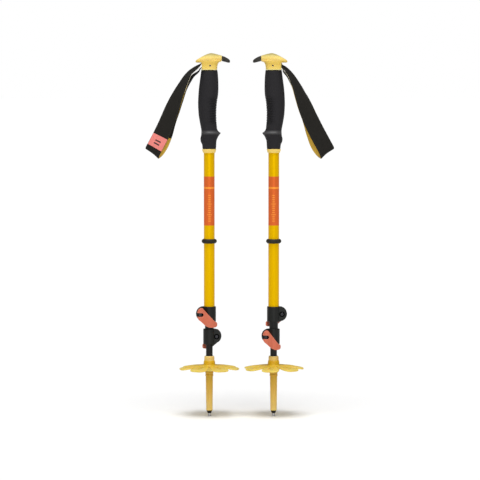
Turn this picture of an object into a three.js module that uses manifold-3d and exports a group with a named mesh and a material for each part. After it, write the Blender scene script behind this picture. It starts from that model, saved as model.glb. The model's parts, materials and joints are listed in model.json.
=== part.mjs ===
// A pair of three-section telescoping ski poles with lever clamps, wrist straps and powder
// baskets, standing collapsed on their tips. Millimetres, +Z up, origin on the ground midway
// between the poles. Each pole is drawn about its own axis with the beak towards +X and the
// strap towards -X, and the second pole is turned half a turn about the vertical.

import * as THREE from "three";
import { mergeVertices } from "three/addons/utils/BufferGeometryUtils.js";
import Module from "manifold-3d";

const wasm = await Module();
wasm.setup();

// ---------------------------------------------------------------- driving dimensions

const GAP = 0.3; // clearance between pieces that touch or are pressed together
const SIDES = 20; // sides of a turned piece
const INNER_SIDES = 14; // sides of a turned piece that is mostly hidden
const SMALL_SIDES = 10; // sides of a screw, pin or hole
const FAR = 60; // reach of a cutting block past the pieces it cuts

const POLE_SPACING = 109;
const PAIR_SHIFT = 2; // brings the middle of the whole pair onto the origin

const TUBE_WALL = 1;
const UPPER_TUBE = { radius: 9.1, bottom: 162, top: 584 };
const MIDDLE_TUBE = { radius: 7.4, bottom: 122, top: 563 };
const LOWER_TUBE = { radius: 5.7, bottom: 40, top: 536, neckRadius: 4.4, neckTop: 74 };
const BUSH = { length: 22, lip: 2, wall: 1.6 };
const LOWER_BUSH_RADIUS = 6.2; // just inside the middle tube's bore
const MIDDLE_BUSH_RADIUS = 7.9; // just inside the upper tube's bore

const POINT = { radius: 2.5, top: 4.6, stemRadius: 1.6, stemTop: 16 };
const HOLDER = { radius: 4.7, top: 9.4, stemRadius: 3.2, stemTop: 28 };
const FERRULE = { bottom: 9.7, bottomRadius: 5.6, topRadius: 6.2, collarBottom: 68, top: 80 };
const COLLAR_RADIUS = 6.9;

const HUB = { bottom: 76.5, top: 102.5, topRadius: 7.9, rimRadius: 10, rimZ: 87.3 };
const PETALS = 7;
const PETAL_REACH = 50.5;
const PETAL_DROOP = 5;
const PETAL_THICK = 2.8;
const PETAL_SLOT = { inner: 0.48, innerRadius: 2.4, outer: 0.74, outerRadius: 4.2 };
const EYELET = { radius: 2, drop: 7, bearing: -36 };

const UPPER_CLAMP = {
  radius: 9.1,
  wall: 2.2,
  bottom: 161,
  top: 186.7,
  boss: 12.3,
  root: 7.2, // radius of its lever's root
  skirtDrop: 0,
};
const LOWER_CLAMP = {
  radius: 7.4,
  wall: 3,
  bottom: 123,
  top: 148.7,
  boss: 12,
  root: 6.8,
  skirtDrop: 30,
};
const BOSS_OUT = 1.1; // from the tube's wall to the middle of the round boss
const BOSS_DROP = 0.1; // from the clamp's top to the top of the boss
const EAR_FRONT = 4.4; // the ear's face that the lever's root bears on
const EAR_BACK = 6.5;
const EAR_SPLIT = 1.6;
const SCREW_OUT = 5; // from the tube's wall to the screw's axis
const SCREW_DROP = 13; // from the clamp's top to the screw's axis
const SCREW_RADIUS = 2;
const SCREW_HEAD = { radius: 3.9, seat: 3.8, top: 6.2, socket: 1.8, socketDepth: 1.4 };
const BARREL = { radius: 3, halfLength: 6.8 };
const LEVER = { thick: 3, rootRadius: 7.2, reach: 60 };
const LEVER_WRAP = [1.19 * Math.PI, 1.88 * Math.PI]; // where its arm starts and ends round the tube
const SLOT_HALF_HEIGHT = 3.2;
const SLOT_PAST_SCREW = 1.4;

const SHAFT_RING = { z: 297.5, halfHeight: 3.7, radius: 13 };
const END_RING = { bottom: 447, top: 453.4, bottomRadius: 10.5, topRadius: 11.8 };
const FOAM_TOP = 586.2;
const HEAD_BOTTOM = 586.5;
const SPIGOT = { radius: 7.8, bottom: 568 };

const PIN = { x: 1.9, z: 593.6, radius: 1.2, halfLength: 12.8 };
const POCKET = { halfWidth: 10.4, bottom: 587.3, top: 598.7, front: 8 };
const PEG = { radius: 2, z: 606, bore: 15, back: 15.5, front: 23 }; // holds the beak in the head
const WEB = { thick: 1.6, headHalfWidth: 9.8, palmHalfWidth: 13.6, lining: 0.9, bend: 2.4 };
const ANCHOR_END = -8.4;
const LEG_START = -12.9;
const LEG_HALF_GAP = 8; // half the space between the strap's two legs at the wrist

// Lever seen from the front: 0 for across counted from the tube's near wall or 1 from its far
// wall, across, and depth below the clamp's top.
const LEVER_OUTLINE = [
  [0, -1.5, 2.9],
  [0, -4, 2.1],
  [0, -6.7, 2.6],
  [0, -9.1, 4.3],
  [0, -10.7, 7.1],
  [0, -11.6, 10.6],
  [0, -11.6, 14.4],
  [0, -10.6, 18.2],
  [0, -8.6, 21.4],
  [0, -5, 24.2],
  [0, -1.4, 27.5],
  [0, 1.4, 30.6],
  [0, 5, 33],
  [0, 9, 34.6],
  [1, -4.1, 35],
  [1, -0.4, 35],
  [1, 2.8, 34.2],
  [1, 4.4, 32.6],
  [1, 4.6, 28.4],
  [1, 3.2, 26.2],
  [1, 0.5, 25],
];

// Foam outline: height, reach to the front, reach to the back, half width.
const FOAM = [
  [453.7, 11.6, 11.2, 11.4],
  [460, 12, 11.8, 12.2],
  [466.6, 12.4, 14.4, 13.2],
  [471, 13.8, 14.8, 13.6],
  [475, 15.8, 13.8, 14.6],
  [478, 18, 13.4, 15.8],
  [480.2, 19.4, 13.3, 16.4],
  [482.4, 16.6, 13.2, 15.2],
  [485.5, 14.2, 13.3, 14.2],
  [489, 13.2, 13.9, 14.2],
  [500, 12.7, 16, 14.6],
  [513, 12.4, 17.9, 15.1],
  [530, 13.4, 18.7, 15.5],
  [543, 15, 18.2, 15.6],
  [556, 15.7, 17.2, 15.6],
  [568, 15.5, 15.6, 15.5],
  [578, 14.9, 14.3, 15.1],
  [FOAM_TOP, 14, 13.2, 14.7],
];

// Head cap, along X: place, underside, top, half width.
const CAP = [
  [-22.8, 599.4, 601.6, 3],
  [-20.5, 598.7, 603.8, 7.5],
  [-16.8, 598.3, 606.1, 11.3],
  [-10, 598.2, 610, 14.2],
  [-2.4, 598.2, 613.3, 15.4],
  [3, 598.2, 614.7, 15.4],
  [11.2, 598.4, 613.4, 13.2],
  [17.5, 599.6, 611.6, 9.8],
  [21.4, 601, 610.6, 7.2],
];

// Rubber beak, along X: place, underside, top, half width.
const BEAK = [
  [21.7, 601.1, 610.4, 7],
  [26, 600.1, 608.7, 5.8],
  [30, 599.1, 606.7, 4.6],
  [33.4, 598.4, 604.4, 3.2],
  [35.2, 599.4, 602.2, 1.4],
];

// Neck under the cap: height, reach to the front, reach to the back, half width.
const NECK = [
  [HEAD_BOTTOM, 13.8, 13.9, 14.6],
  [588, 13.6, 13.9, 14.4],
  [594, 14.2, 14, 14.4],
  [599, 16.4, 14.6, 14.6],
  [602.5, 20.4, 15.4, 14.6],
];

// Petal of the basket: share of the reach, half width.
const PETAL = [
  [0.14, 4],
  [0.26, 5.6],
  [0.45, 9.6],
  [0.65, 13.2],
  [0.82, 14.8],
  [0.94, 12.8],
  [1, 7],
];

// Strap centreline: x, y as a share of the half gap, z, the share of the quarter turn that
// takes the webbing from edge-on at the head to face-on at the wrist, and how much further
// towards the pole the second pole's strap hangs.
const STRAP = [
  [LEG_START, 0, 597, 0, 0],
  [-15.9, 0, 594.6, 0.08, 2.6],
  [-22, -0.1, 590.1, 0.18, 4.1],
  [-34.5, -0.3, 579.5, 0.24, 6.8],
  [-46.6, -0.6, 557.5, 0.45, 7.8],
  [-55.3, -0.85, 538.5, 0.63, 11],
  [-62.6, -1, 520, 0.8, 8.8],
  [-70.2, -1, 500, 0.95, 6.8],
  [-79.3, -1, 480, 1, 5.9],
  [-89.1, -1, 461, 1, 5.4],
  [-94.8, -0.78, 450.5, 1, 5.6],
  [-95.4, 0, 446.6, 1, 6],
  [-89.6, 0.78, 450.5, 1, 6.4],
  [-82.4, 1, 461, 1, 6.8],
  [-74.9, 1, 480, 1, 6.4],
  [-69.2, 1, 500, 0.95, 6.6],
  [-61.1, 1, 520, 0.8, 5],
  [-52.8, 0.85, 538.5, 0.63, 2.6],
  [-42.7, 0.6, 557.5, 0.4, 4.8],
  [-27.2, 0.3, 576.2, 0.13, 3.5],
  [-17.4, 0.1, 584.2, 0.05, 1.2],
  [-15.4, 0, 587.6, 0.02, 0.2],
  [LEG_START, 0, 590.2, 0, 0],
];
const STRAP_STEPS = 40;
const LINING_START = 0.16; // share of the strap at which the lining starts
const LINING = { wider: -0.2, shift: 0.1 }; // against the webbing, and sideways to the pole
const PATCH_SPAN = [0.365, 0.435]; // where the label lies along the strap
const PATCH = { thick: 0.6, inset: 0.3 };
const FACE_ON = new THREE.Vector3(-0.81, 0, 0.59); // webbing's width direction at the wrist

// ---------------------------------------------------------------- materials

const paint = (color, roughness, metalness = 0) => ({ color, roughness, metalness });
const LOOKS = {
  shaftYellow: paint(0xe4b602, 0.32, 0.25),
  shaftBlack: paint(0x28282a, 0.35, 0.3),
  gripYellow: paint(0xeed47d, 0.5),
  foam: paint(0x39383a, 0.85),
  beak: paint(0x2a2a2b, 0.7),
  webbing: paint(0x262522, 0.9),
  lining: paint(0xc8a532, 0.85),
  coral: paint(0xf28e82, 0.6),
  leverCoral: paint(0xd2695a, 0.42),
  clampBlack: paint(0x2c2e2c, 0.5),
  ringRubber: paint(0x282314, 0.8),
  basket: paint(0xdeb94b, 0.4),
  ferrule: paint(0xc9a03c, 0.35),
  tipBlack: paint(0x1c1812, 0.5),
  steel: paint(0xa5a5a5, 0.3, 1),
};

// ---------------------------------------------------------------- solids

// A closed geometry as a manifold-3d solid, its shared vertices merged.
function solidOf(geometry) {
  const bare = new THREE.BufferGeometry();
  bare.setAttribute("position", geometry.getAttribute("position"));
  if (geometry.index) bare.setIndex(geometry.index);
  const merged = mergeVertices(bare, 1e-4);
  const index = merged.index.array;
  const kept = [];
  for (let i = 0; i < index.length; i += 3) {
    const [a, b, c] = [index[i], index[i + 1], index[i + 2]];
    if (a !== b && b !== c && a !== c) kept.push(a, b, c);
  }
  return new wasm.Manifold(
    new wasm.Mesh({
      numProp: 3,
      vertProperties: merged.getAttribute("position").array,
      triVerts: new Uint32Array(kept),
    }),
  );
}

// A manifold-3d solid as a three.js geometry.
function geometryOf(solid) {
  const mesh = solid.getMesh();
  const geometry = new THREE.BufferGeometry();
  geometry.setAttribute("position", new THREE.BufferAttribute(mesh.vertProperties, 3));
  geometry.setIndex(new THREE.BufferAttribute(mesh.triVerts, 1));
  const faceted = geometry.toNonIndexed();
  faceted.computeVertexNormals();
  return faceted;
}

const joined = (solids) => solids.reduce((all, one) => all.add(one));
const cutBy = (solid, tools) => tools.reduce((left, tool) => left.subtract(tool), solid);

// A solid turned about Z from a closed [radius, height] profile, anticlockwise.
function turned(profile, sides = SIDES) {
  const points = profile.map(([r, z]) => new THREE.Vector2(r, z));
  const geometry = new THREE.LatheGeometry(points, sides);
  geometry.rotateX(Math.PI / 2);
  return solidOf(geometry);
}

// A plain or tapered ring about Z.
function sleeve(inner, outer, bottom, top, topOuter = outer) {
  return turned([
    [inner, bottom],
    [outer, bottom],
    [topOuter, top],
    [inner, top],
    [inner, bottom],
  ]);
}

function block(x0, x1, y0, y1, z0, z1) {
  const geometry = new THREE.BoxGeometry(x1 - x0, y1 - y0, z1 - z0);
  geometry.translate((x0 + x1) / 2, (y0 + y1) / 2, (z0 + z1) / 2);
  return solidOf(geometry);
}

function rodZ(radius, x, y, z0, z1, sides = SMALL_SIDES) {
  const geometry = new THREE.CylinderGeometry(radius, radius, z1 - z0, sides);
  geometry.rotateX(Math.PI / 2);
  geometry.translate(x, y, (z0 + z1) / 2);
  return solidOf(geometry);
}

function rodY(radius, x, z, y0, y1, sides = SMALL_SIDES) {
  const geometry = new THREE.CylinderGeometry(radius, radius, y1 - y0, sides);
  geometry.translate(x, (y0 + y1) / 2, z);
  return solidOf(geometry);
}

function rodX(radius, y, z, x0, x1, sides = SMALL_SIDES) {
  const geometry = new THREE.CylinderGeometry(radius, radius, x1 - x0, sides);
  geometry.rotateZ(Math.PI / 2);
  geometry.translate((x0 + x1) / 2, y, z);
  return solidOf(geometry);
}

// A flat outline drawn in X and Z, with a thickness from y0 to y1.
function plateXZ(shape, y0, y1, curveSegments = 8) {
  const geometry = new THREE.ExtrudeGeometry(shape, {
    depth: y1 - y0,
    bevelEnabled: false,
    curveSegments,
  });
  geometry.rotateX(Math.PI / 2);
  geometry.translate(0, y1, 0);
  return solidOf(geometry);
}

// A flat outline drawn in X and Y, with a thickness from z0 to z1.
function plateXY(shape, z0, z1, curveSegments = 10) {
  const geometry = new THREE.ExtrudeGeometry(shape, {
    depth: z1 - z0,
    bevelEnabled: false,
    curveSegments,
  });
  geometry.translate(0, 0, z0);
  return solidOf(geometry);
}

function polygon(points) {
  return new THREE.Shape(points.map(([x, y]) => new THREE.Vector2(x, y)));
}

// A closed skin through rings of equal count, right way out whichever way the rings run.
// Each four-sided patch is split along one diagonal, and along the other in crossed columns.
function loft(rings, crossed = []) {
  const skin = skinOf(rings, crossed);
  return skin.volume() > 0 ? skin : skinOf(rings.map((ring) => [...ring].reverse()), crossed);
}

function skinOf(rings, crossed) {
  const count = rings[0].length;
  const positions = rings.flat().flatMap((p) => [p.x, p.y, p.z]);
  const index = [];
  for (let i = 0; i + 1 < rings.length; i += 1) {
    for (let j = 0; j < count; j += 1) {
      const a = i * count + j;
      const b = i * count + ((j + 1) % count);
      if (crossed.includes(j)) index.push(a, b, a + count, b, b + count, a + count);
      else index.push(a, b, b + count, a, b + count, a + count);
    }
  }
  const last = (rings.length - 1) * count;
  for (let j = 1; j + 1 < count; j += 1) {
    index.push(0, j + 1, j);
    index.push(last, last + j, last + j + 1);
  }
  const geometry = new THREE.BufferGeometry();
  geometry.setAttribute("position", new THREE.Float32BufferAttribute(positions, 3));
  geometry.setIndex(index);
  return solidOf(geometry);
}

// A rounded, slightly squared ring: power 2 is an ellipse, more is squarer.
function roundedRing(count, power, place) {
  const ring = [];
  for (let i = 0; i < count; i += 1) {
    const turn = ((i + 0.5) / count) * 2 * Math.PI;
    const c = Math.cos(turn);
    const s = Math.sin(turn);
    const u = Math.sign(c) * Math.abs(c) ** (2 / power);
    const v = Math.sign(s) * Math.abs(s) ** (2 / power);
    ring.push(place(u, v));
  }
  return ring;
}

// Stations [height, front, back, half width] lofted along Z.
function uprightLoft(stations, count, power) {
  const ringAt = ([z, front, back, half]) =>
    roundedRing(count, power, (u, v) => new THREE.Vector3(u * (u > 0 ? front : back), v * half, z));
  return loft(stations.map(ringAt));
}

// Stations [place, underside, top, half width] lofted along X.
function forwardLoft(stations, count, power) {
  const ringAt = ([x, low, high, half]) =>
    roundedRing(
      count,
      power,
      (u, v) => new THREE.Vector3(x, u * half, (low + high) / 2 + (v * (high - low)) / 2),
    );
  return loft(stations.map(ringAt));
}

// ---------------------------------------------------------------- tip and basket

function tipPoint() {
  const profile = [
    [0, 0],
    [POINT.radius - 0.4, 0],
    [POINT.radius, 0.6],
    [POINT.radius, POINT.top],
    [POINT.stemRadius, POINT.top],
    [POINT.stemRadius, POINT.stemTop],
    [0, POINT.stemTop],
  ];
  return turned(profile, INNER_SIDES);
}

function tipHolder() {
  const bore = POINT.stemRadius + GAP;
  const profile = [
    [bore, POINT.top + GAP],
    [POINT.radius + 0.4, POINT.top + GAP],
    [HOLDER.radius, HOLDER.top],
    [HOLDER.stemRadius, HOLDER.top],
    [HOLDER.stemRadius, HOLDER.stemTop],
    [bore, HOLDER.stemTop],
    [bore, POINT.top + GAP],
  ];
  return turned(profile, INNER_SIDES);
}

// Hollow plastic tip that the lower tube's neck is glued into, with a threaded collar.
function tipFerrule() {
  const holderBore = HOLDER.stemRadius + GAP;
  const neckBore = LOWER_TUBE.neckRadius + GAP;
  const step = LOWER_TUBE.bottom - GAP;
  return turned([
    [holderBore, FERRULE.bottom],
    [FERRULE.bottomRadius, FERRULE.bottom],
    [FERRULE.topRadius, FERRULE.collarBottom],
    [COLLAR_RADIUS, FERRULE.collarBottom + 0.8],
    [COLLAR_RADIUS, FERRULE.collarBottom + 2.6],
    [FERRULE.topRadius + 0.1, FERRULE.collarBottom + 3.4],
    [FERRULE.topRadius + 0.1, FERRULE.collarBottom + 4.6],
    [COLLAR_RADIUS, FERRULE.collarBottom + 5.4],
    [COLLAR_RADIUS, FERRULE.top],
    [LOWER_TUBE.radius + GAP, FERRULE.top],
    [LOWER_TUBE.radius + GAP, LOWER_TUBE.neckTop + 2],
    [neckBore, LOWER_TUBE.neckTop],
    [neckBore, step],
    [holderBore, step],
    [holderBore, FERRULE.bottom],
  ]);
}

// One drooping petal pointing along +X, with the slot that lightens it.
function basketPetal() {
  const rings = PETAL.map(([share, half]) => {
    const x = share * PETAL_REACH;
    const top = HUB.rimZ - PETAL_DROOP * share ** 2;
    const thick = PETAL_THICK * (1.5 - 0.6 * share);
    const low = top - thick;
    return [
      new THREE.Vector3(x, half, low),
      new THREE.Vector3(x, half, top),
      new THREE.Vector3(x, -half, top),
      new THREE.Vector3(x, -half, low),
    ];
  });
  const slot = new THREE.Shape();
  const { inner, innerRadius, outer, outerRadius } = PETAL_SLOT;
  slot.absarc(outer * PETAL_REACH, 0, outerRadius, -Math.PI / 2, Math.PI / 2, false);
  slot.absarc(inner * PETAL_REACH, 0, innerRadius, Math.PI / 2, (3 * Math.PI) / 2, false);
  const cutter = plateXY(slot, HUB.rimZ - FAR, HUB.rimZ + FAR, 4);
  return loft(rings).subtract(cutter);
}

function basket(phase) {
  const bore = COLLAR_RADIUS + GAP;
  const shaftBore = LOWER_TUBE.radius + GAP;
  const hub = turned([
    [bore, HUB.bottom],
    [8.2, HUB.bottom],
    [HUB.rimRadius + 1, HUB.rimZ - 4],
    [HUB.rimRadius + 0.6, HUB.rimZ],
    [HUB.rimRadius - 0.4, HUB.rimZ + 2],
    [HUB.topRadius + 1, HUB.top - 4],
    [HUB.topRadius, HUB.top],
    [shaftBore, HUB.top],
    [shaftBore, FERRULE.top + GAP],
    [bore, FERRULE.top + GAP],
    [bore, HUB.bottom],
  ]);
  const core = rodZ(bore + 0.1, 0, 0, HUB.bottom - 5, FERRULE.top + GAP, SIDES);
  const neck = rodZ(shaftBore, 0, 0, HUB.bottom, HUB.top + 5, SIDES);
  const petals = [];
  for (let i = 0; i < PETALS; i += 1) {
    const petal = basketPetal().subtract(neck).subtract(core);
    petals.push(petal.rotate([0, 0, phase + (i * 360) / PETALS]));
  }
  const eyelet = rodX(EYELET.radius, 0, HUB.top - EYELET.drop, -FAR, -bore, 8);
  return joined([hub, ...petals]).subtract(eyelet.rotate([0, 0, EYELET.bearing]));
}

// ---------------------------------------------------------------- tubes

function tube({ radius, bottom, top }) {
  return sleeve(radius - TUBE_WALL, radius, bottom, top);
}

// The lower tube is drawn in at its foot to fit the tip.
function lowerTube() {
  const { radius, bottom, top, neckRadius, neckTop } = LOWER_TUBE;
  const inner = neckRadius - TUBE_WALL;
  return turned([
    [inner, bottom],
    [neckRadius, bottom],
    [neckRadius, neckTop],
    [radius, neckTop + 2.4],
    [radius, top],
    [radius - TUBE_WALL, top],
    [radius - TUBE_WALL, neckTop + 3],
    [inner, neckTop + 0.6],
    [inner, bottom],
  ]);
}

// Plastic bush pressed into a tube's top end, which centres it in the next tube out.
function bush(fitted, outer) {
  const plug = fitted.radius - TUBE_WALL - GAP;
  const bore = plug - BUSH.wall;
  const foot = fitted.top - BUSH.length;
  const seat = fitted.top + GAP;
  const profile = [
    [bore, foot],
    [plug, foot],
    [plug, seat],
    [outer, seat],
    [outer, seat + BUSH.lip],
    [bore, seat + BUSH.lip],
    [bore, foot],
  ];
  return turned(profile, INNER_SIDES);
}

// ---------------------------------------------------------------- lever clamp

const screwX = (clamp) => -(clamp.radius + SCREW_OUT);
const screwZ = (clamp) => clamp.top - SCREW_DROP;
const barrelY = -(EAR_FRONT + 2 * GAP + LEVER.rootRadius);

// Collar round the tube's end with two ears that the screw draws together.
function clampBody(clamp) {
  const { radius, wall, bottom, top, boss, skirtDrop } = clamp;
  const outer = radius + wall;
  const bore = radius + GAP;
  const collar = turned([
    [bore, bottom],
    [outer - 0.8, bottom],
    [outer, bottom + 0.8],
    [outer, top - 0.8],
    [outer - 0.8, top],
    [bore, top],
    [bore, bottom],
  ]);
  const bossX = -(radius + BOSS_OUT);
  const bossZ = top - boss - BOSS_DROP;
  const ears = [rodY(boss, bossX, bossZ, -EAR_FRONT, EAR_BACK, SIDES)];
  if (skirtDrop) {
    const web = [
      [bossX - 0.78 * boss, bossZ - 0.62 * boss],
      [-(radius - 2), top - skirtDrop],
      [0, top - skirtDrop],
      [0, bossZ],
    ];
    ears.push(plateXZ(polygon(web), -EAR_FRONT, EAR_BACK));
  }
  const tools = [
    rodZ(bore, 0, 0, bottom - FAR, top + FAR, SIDES),
    block(-FAR, -radius + 3, -EAR_SPLIT / 2, EAR_SPLIT / 2, bottom - FAR, top + FAR),
    rodY(SCREW_RADIUS + GAP, screwX(clamp), screwZ(clamp), -FAR, FAR),
    rodY(SCREW_HEAD.radius + 2 * GAP, screwX(clamp), screwZ(clamp), SCREW_HEAD.seat - GAP, FAR),
  ];
  return cutBy(joined([collar, ...ears]), tools);
}

// Curved lever: a slotted root round the barrel nut, and an arm that wraps the collar
// diagonally down to the far side.
function clampLever(clamp) {
  const x = screwX(clamp);
  const z = screwZ(clamp);
  const inner = clamp.radius + clamp.wall + 2 * GAP;
  const outer = inner + LEVER.thick;

  const outline = polygon(
    LEVER_OUTLINE.map(([far, across, drop]) => [
      (2 * far - 1) * clamp.radius + across,
      clamp.top - drop,
    ]),
  );
  const arm = new THREE.Shape();
  const [start, end] = LEVER_WRAP;
  arm.absarc(0, 0, outer, start, end, false);
  arm.absarc(0, 0, inner, end, start, true);
  const low = z - LEVER.reach;
  const high = z + LEVER.reach;
  const shoulder = polygon([
    [x, barrelY - clamp.root],
    [-1.5, -outer + 0.15],
    [-1.5, -inner - 1],
    [-(inner + 1) * 0.8, -(inner + 1) * 0.6],
    [x, barrelY],
  ]);
  const plan = joined([
    plateXY(arm, low, high),
    rodZ(clamp.root, x, barrelY, low, high, 18),
    plateXY(shoulder, low, high),
  ]);

  const slotEnd = x + SLOT_PAST_SCREW;
  const tools = [
    rodZ(BARREL.radius + GAP, x, barrelY, low, high),
    rodZ(inner, 0, 0, low, high, 2 * SIDES),
    block(-FAR, slotEnd, -FAR, FAR, z - SLOT_HALF_HEIGHT, z + SLOT_HALF_HEIGHT),
    rodY(SLOT_HALF_HEIGHT, slotEnd, z, -FAR, FAR),
  ];
  return cutBy(plan.intersect(plateXZ(outline, -FAR, 0)), tools);
}

// Round nut lying upright in the lever's root, which the screw threads into.
function barrelNut(clamp) {
  const x = screwX(clamp);
  const z = screwZ(clamp);
  const nut = rodZ(BARREL.radius, x, barrelY, z - BARREL.halfLength, z + BARREL.halfLength);
  return nut.subtract(rodY(SCREW_RADIUS + GAP, x, z, barrelY - 1, 0));
}

function clampScrew(clamp) {
  const x = screwX(clamp);
  const z = screwZ(clamp);
  const head = rodY(SCREW_HEAD.radius, x, z, SCREW_HEAD.seat, SCREW_HEAD.top, 14);
  const shank = rodY(SCREW_RADIUS, x, z, barrelY - 0.5, SCREW_HEAD.seat + 1);
  const floor = SCREW_HEAD.top - SCREW_HEAD.socketDepth;
  const socket = rodY(SCREW_HEAD.socket, x, z, floor, FAR, 6);
  return head.add(shank).subtract(socket);
}

// ---------------------------------------------------------------- grip

function shaftRing() {
  const { z, halfHeight, radius } = SHAFT_RING;
  const bore = UPPER_TUBE.radius + GAP;
  return turned([
    [bore, z - halfHeight],
    [radius - 2.4, z - halfHeight],
    [radius - 0.4, z - 0.5 * halfHeight],
    [radius, z],
    [radius - 0.4, z + 0.5 * halfHeight],
    [radius - 2.4, z + halfHeight],
    [bore, z + halfHeight],
    [bore, z - halfHeight],
  ]);
}

function endRing() {
  const { bottom, top, bottomRadius, topRadius } = END_RING;
  const bore = UPPER_TUBE.radius + GAP;
  return turned([
    [bore, bottom],
    [bottomRadius, bottom],
    [topRadius - 0.3, top - 2.6],
    [topRadius, top - 0.6],
    [topRadius - 0.4, top],
    [bore, top],
    [bore, bottom],
  ]);
}

function gripFoam() {
  const bore = rodZ(UPPER_TUBE.radius + GAP, 0, 0, FOAM[0][0] - FAR, FOAM_TOP + FAR, SIDES);
  return uprightLoft(FOAM, 18, 2.15).subtract(bore);
}

function gripHead() {
  const spigot = turned([
    [0, SPIGOT.bottom],
    [SPIGOT.radius - 1, SPIGOT.bottom],
    [SPIGOT.radius, SPIGOT.bottom + 1],
    [SPIGOT.radius, HEAD_BOTTOM + 1],
    [0, HEAD_BOTTOM + 1],
  ]);
  const body = joined([forwardLoft(CAP, 16, 2.5), uprightLoft(NECK, 16, 3.6), spigot]);
  const tools = [
    block(-FAR, POCKET.front, -POCKET.halfWidth, POCKET.halfWidth, POCKET.bottom, POCKET.top),
    rodY(PIN.radius + GAP, PIN.x, PIN.z, -FAR, FAR),
    rodX(PEG.radius + GAP, 0, PEG.z, PEG.bore, FAR),
  ];
  return cutBy(body, tools);
}

function beakInsert() {
  return forwardLoft(BEAK, 12, 2.4).add(rodX(PEG.radius, 0, PEG.z, PEG.back, PEG.front));
}

function strapPin() {
  return rodY(PIN.radius, PIN.x, PIN.z, -PIN.halfLength, PIN.halfLength);
}

// ---------------------------------------------------------------- strap

// The strap's centreline with its frame: point, width direction and outward normal.
function strapFrames({ side, near }) {
  const points = STRAP.map(
    ([x, y, z, , nearer]) => new THREE.Vector3(x + near * nearer, side * y * LEG_HALF_GAP, z),
  );
  const curve = new THREE.CatmullRomCurve3(points, false, "centripetal");
  const frames = [];
  for (let i = 0; i <= STRAP_STEPS; i += 1) {
    const t = i / STRAP_STEPS;
    const place = t * (STRAP.length - 1);
    const low = Math.min(Math.floor(place), STRAP.length - 2);
    const turn = THREE.MathUtils.lerp(STRAP[low][3], STRAP[low + 1][3], place - low);
    const angle = (turn * Math.PI) / 2;
    const tangent = curve.getTangent(t);
    const width = new THREE.Vector3(0, Math.cos(angle), 0);
    width.addScaledVector(FACE_ON, side * Math.sin(angle));
    width.addScaledVector(tangent, -width.dot(tangent)).normalize();
    const normal = new THREE.Vector3().crossVectors(width, tangent);
    frames.push({ t, turn, point: curve.getPoint(t), width, normal });
  }
  return frames;
}

// A flat band that follows the strap, standing off its centreline by lift. Its third column is
// crossed, so that its two wide faces are split alike and stay parallel where it twists.
function strapBand(frames, lift, thick, extraWidth, shift = 0) {
  const rings = frames.map(({ turn, point, width, normal }) => {
    const half = THREE.MathUtils.lerp(WEB.headHalfWidth, WEB.palmHalfWidth, turn) + extraWidth;
    const middle = point.clone().addScaledVector(width, shift).addScaledVector(normal, lift);
    const corner = (w, n) =>
      middle.clone().addScaledVector(width, w * half).addScaledVector(normal, (n * thick) / 2);
    return [corner(-1, -1), corner(1, -1), corner(1, 1), corner(-1, 1)];
  });
  return loft(rings, [2]);
}

function strapWebbing(hang) {
  return strapBand(strapFrames(hang), 0, WEB.thick, 0);
}

function strapLining(hang) {
  const frames = strapFrames(hang).filter(({ t }) => t > LINING_START && t < hang.lined);
  const lift = -(WEB.thick + WEB.lining) / 2 - GAP;
  return strapBand(frames, lift, WEB.lining, LINING.wider, -hang.side * LINING.shift);
}

// Woven label near the wrist end: on the outer leg of one pole and the inner of the other.
function strapPatch(hang, outerLeg) {
  const [from, to] = outerLeg ? PATCH_SPAN : PATCH_SPAN.map((t) => 1 - t).reverse();
  const frames = strapFrames(hang).filter(({ t }) => t > from && t < to);
  const { thick, inset } = PATCH;
  return strapBand(frames, (WEB.thick + thick) / 2 + GAP, thick, -inset);
}

// Short length of webbing that goes round the pin inside the head.
function strapAnchor() {
  const inner = WEB.bend;
  const outer = inner + WEB.thick;
  const shape = new THREE.Shape();
  shape.moveTo(ANCHOR_END, PIN.z - outer);
  shape.absarc(PIN.x, PIN.z, outer, -Math.PI / 2, Math.PI / 2, false);
  shape.lineTo(ANCHOR_END, PIN.z + outer);
  shape.lineTo(ANCHOR_END, PIN.z + inner);
  shape.absarc(PIN.x, PIN.z, inner, Math.PI / 2, -Math.PI / 2, true);
  shape.lineTo(ANCHOR_END, PIN.z - inner);
  return plateXZ(shape, -WEB.headHalfWidth, WEB.headHalfWidth, 8);
}

// ---------------------------------------------------------------- the pair

function addMesh(parent, name, solid, look) {
  const mesh = new THREE.Mesh(geometryOf(solid), new THREE.MeshStandardMaterial(look));
  mesh.name = name;
  parent.add(mesh);
  return mesh;
}

function addClamp(parent, name, clamp) {
  const group = new THREE.Group();
  addMesh(group, `${name}_body`, clampBody(clamp), LOOKS.clampBlack);
  addMesh(group, `${name}_lever`, clampLever(clamp), LOOKS.leverCoral);
  addMesh(group, `${name}_barrel_nut`, barrelNut(clamp), LOOKS.steel);
  addMesh(group, `${name}_screw`, clampScrew(clamp), LOOKS.steel);
  parent.add(group);
  return group;
}

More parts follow.
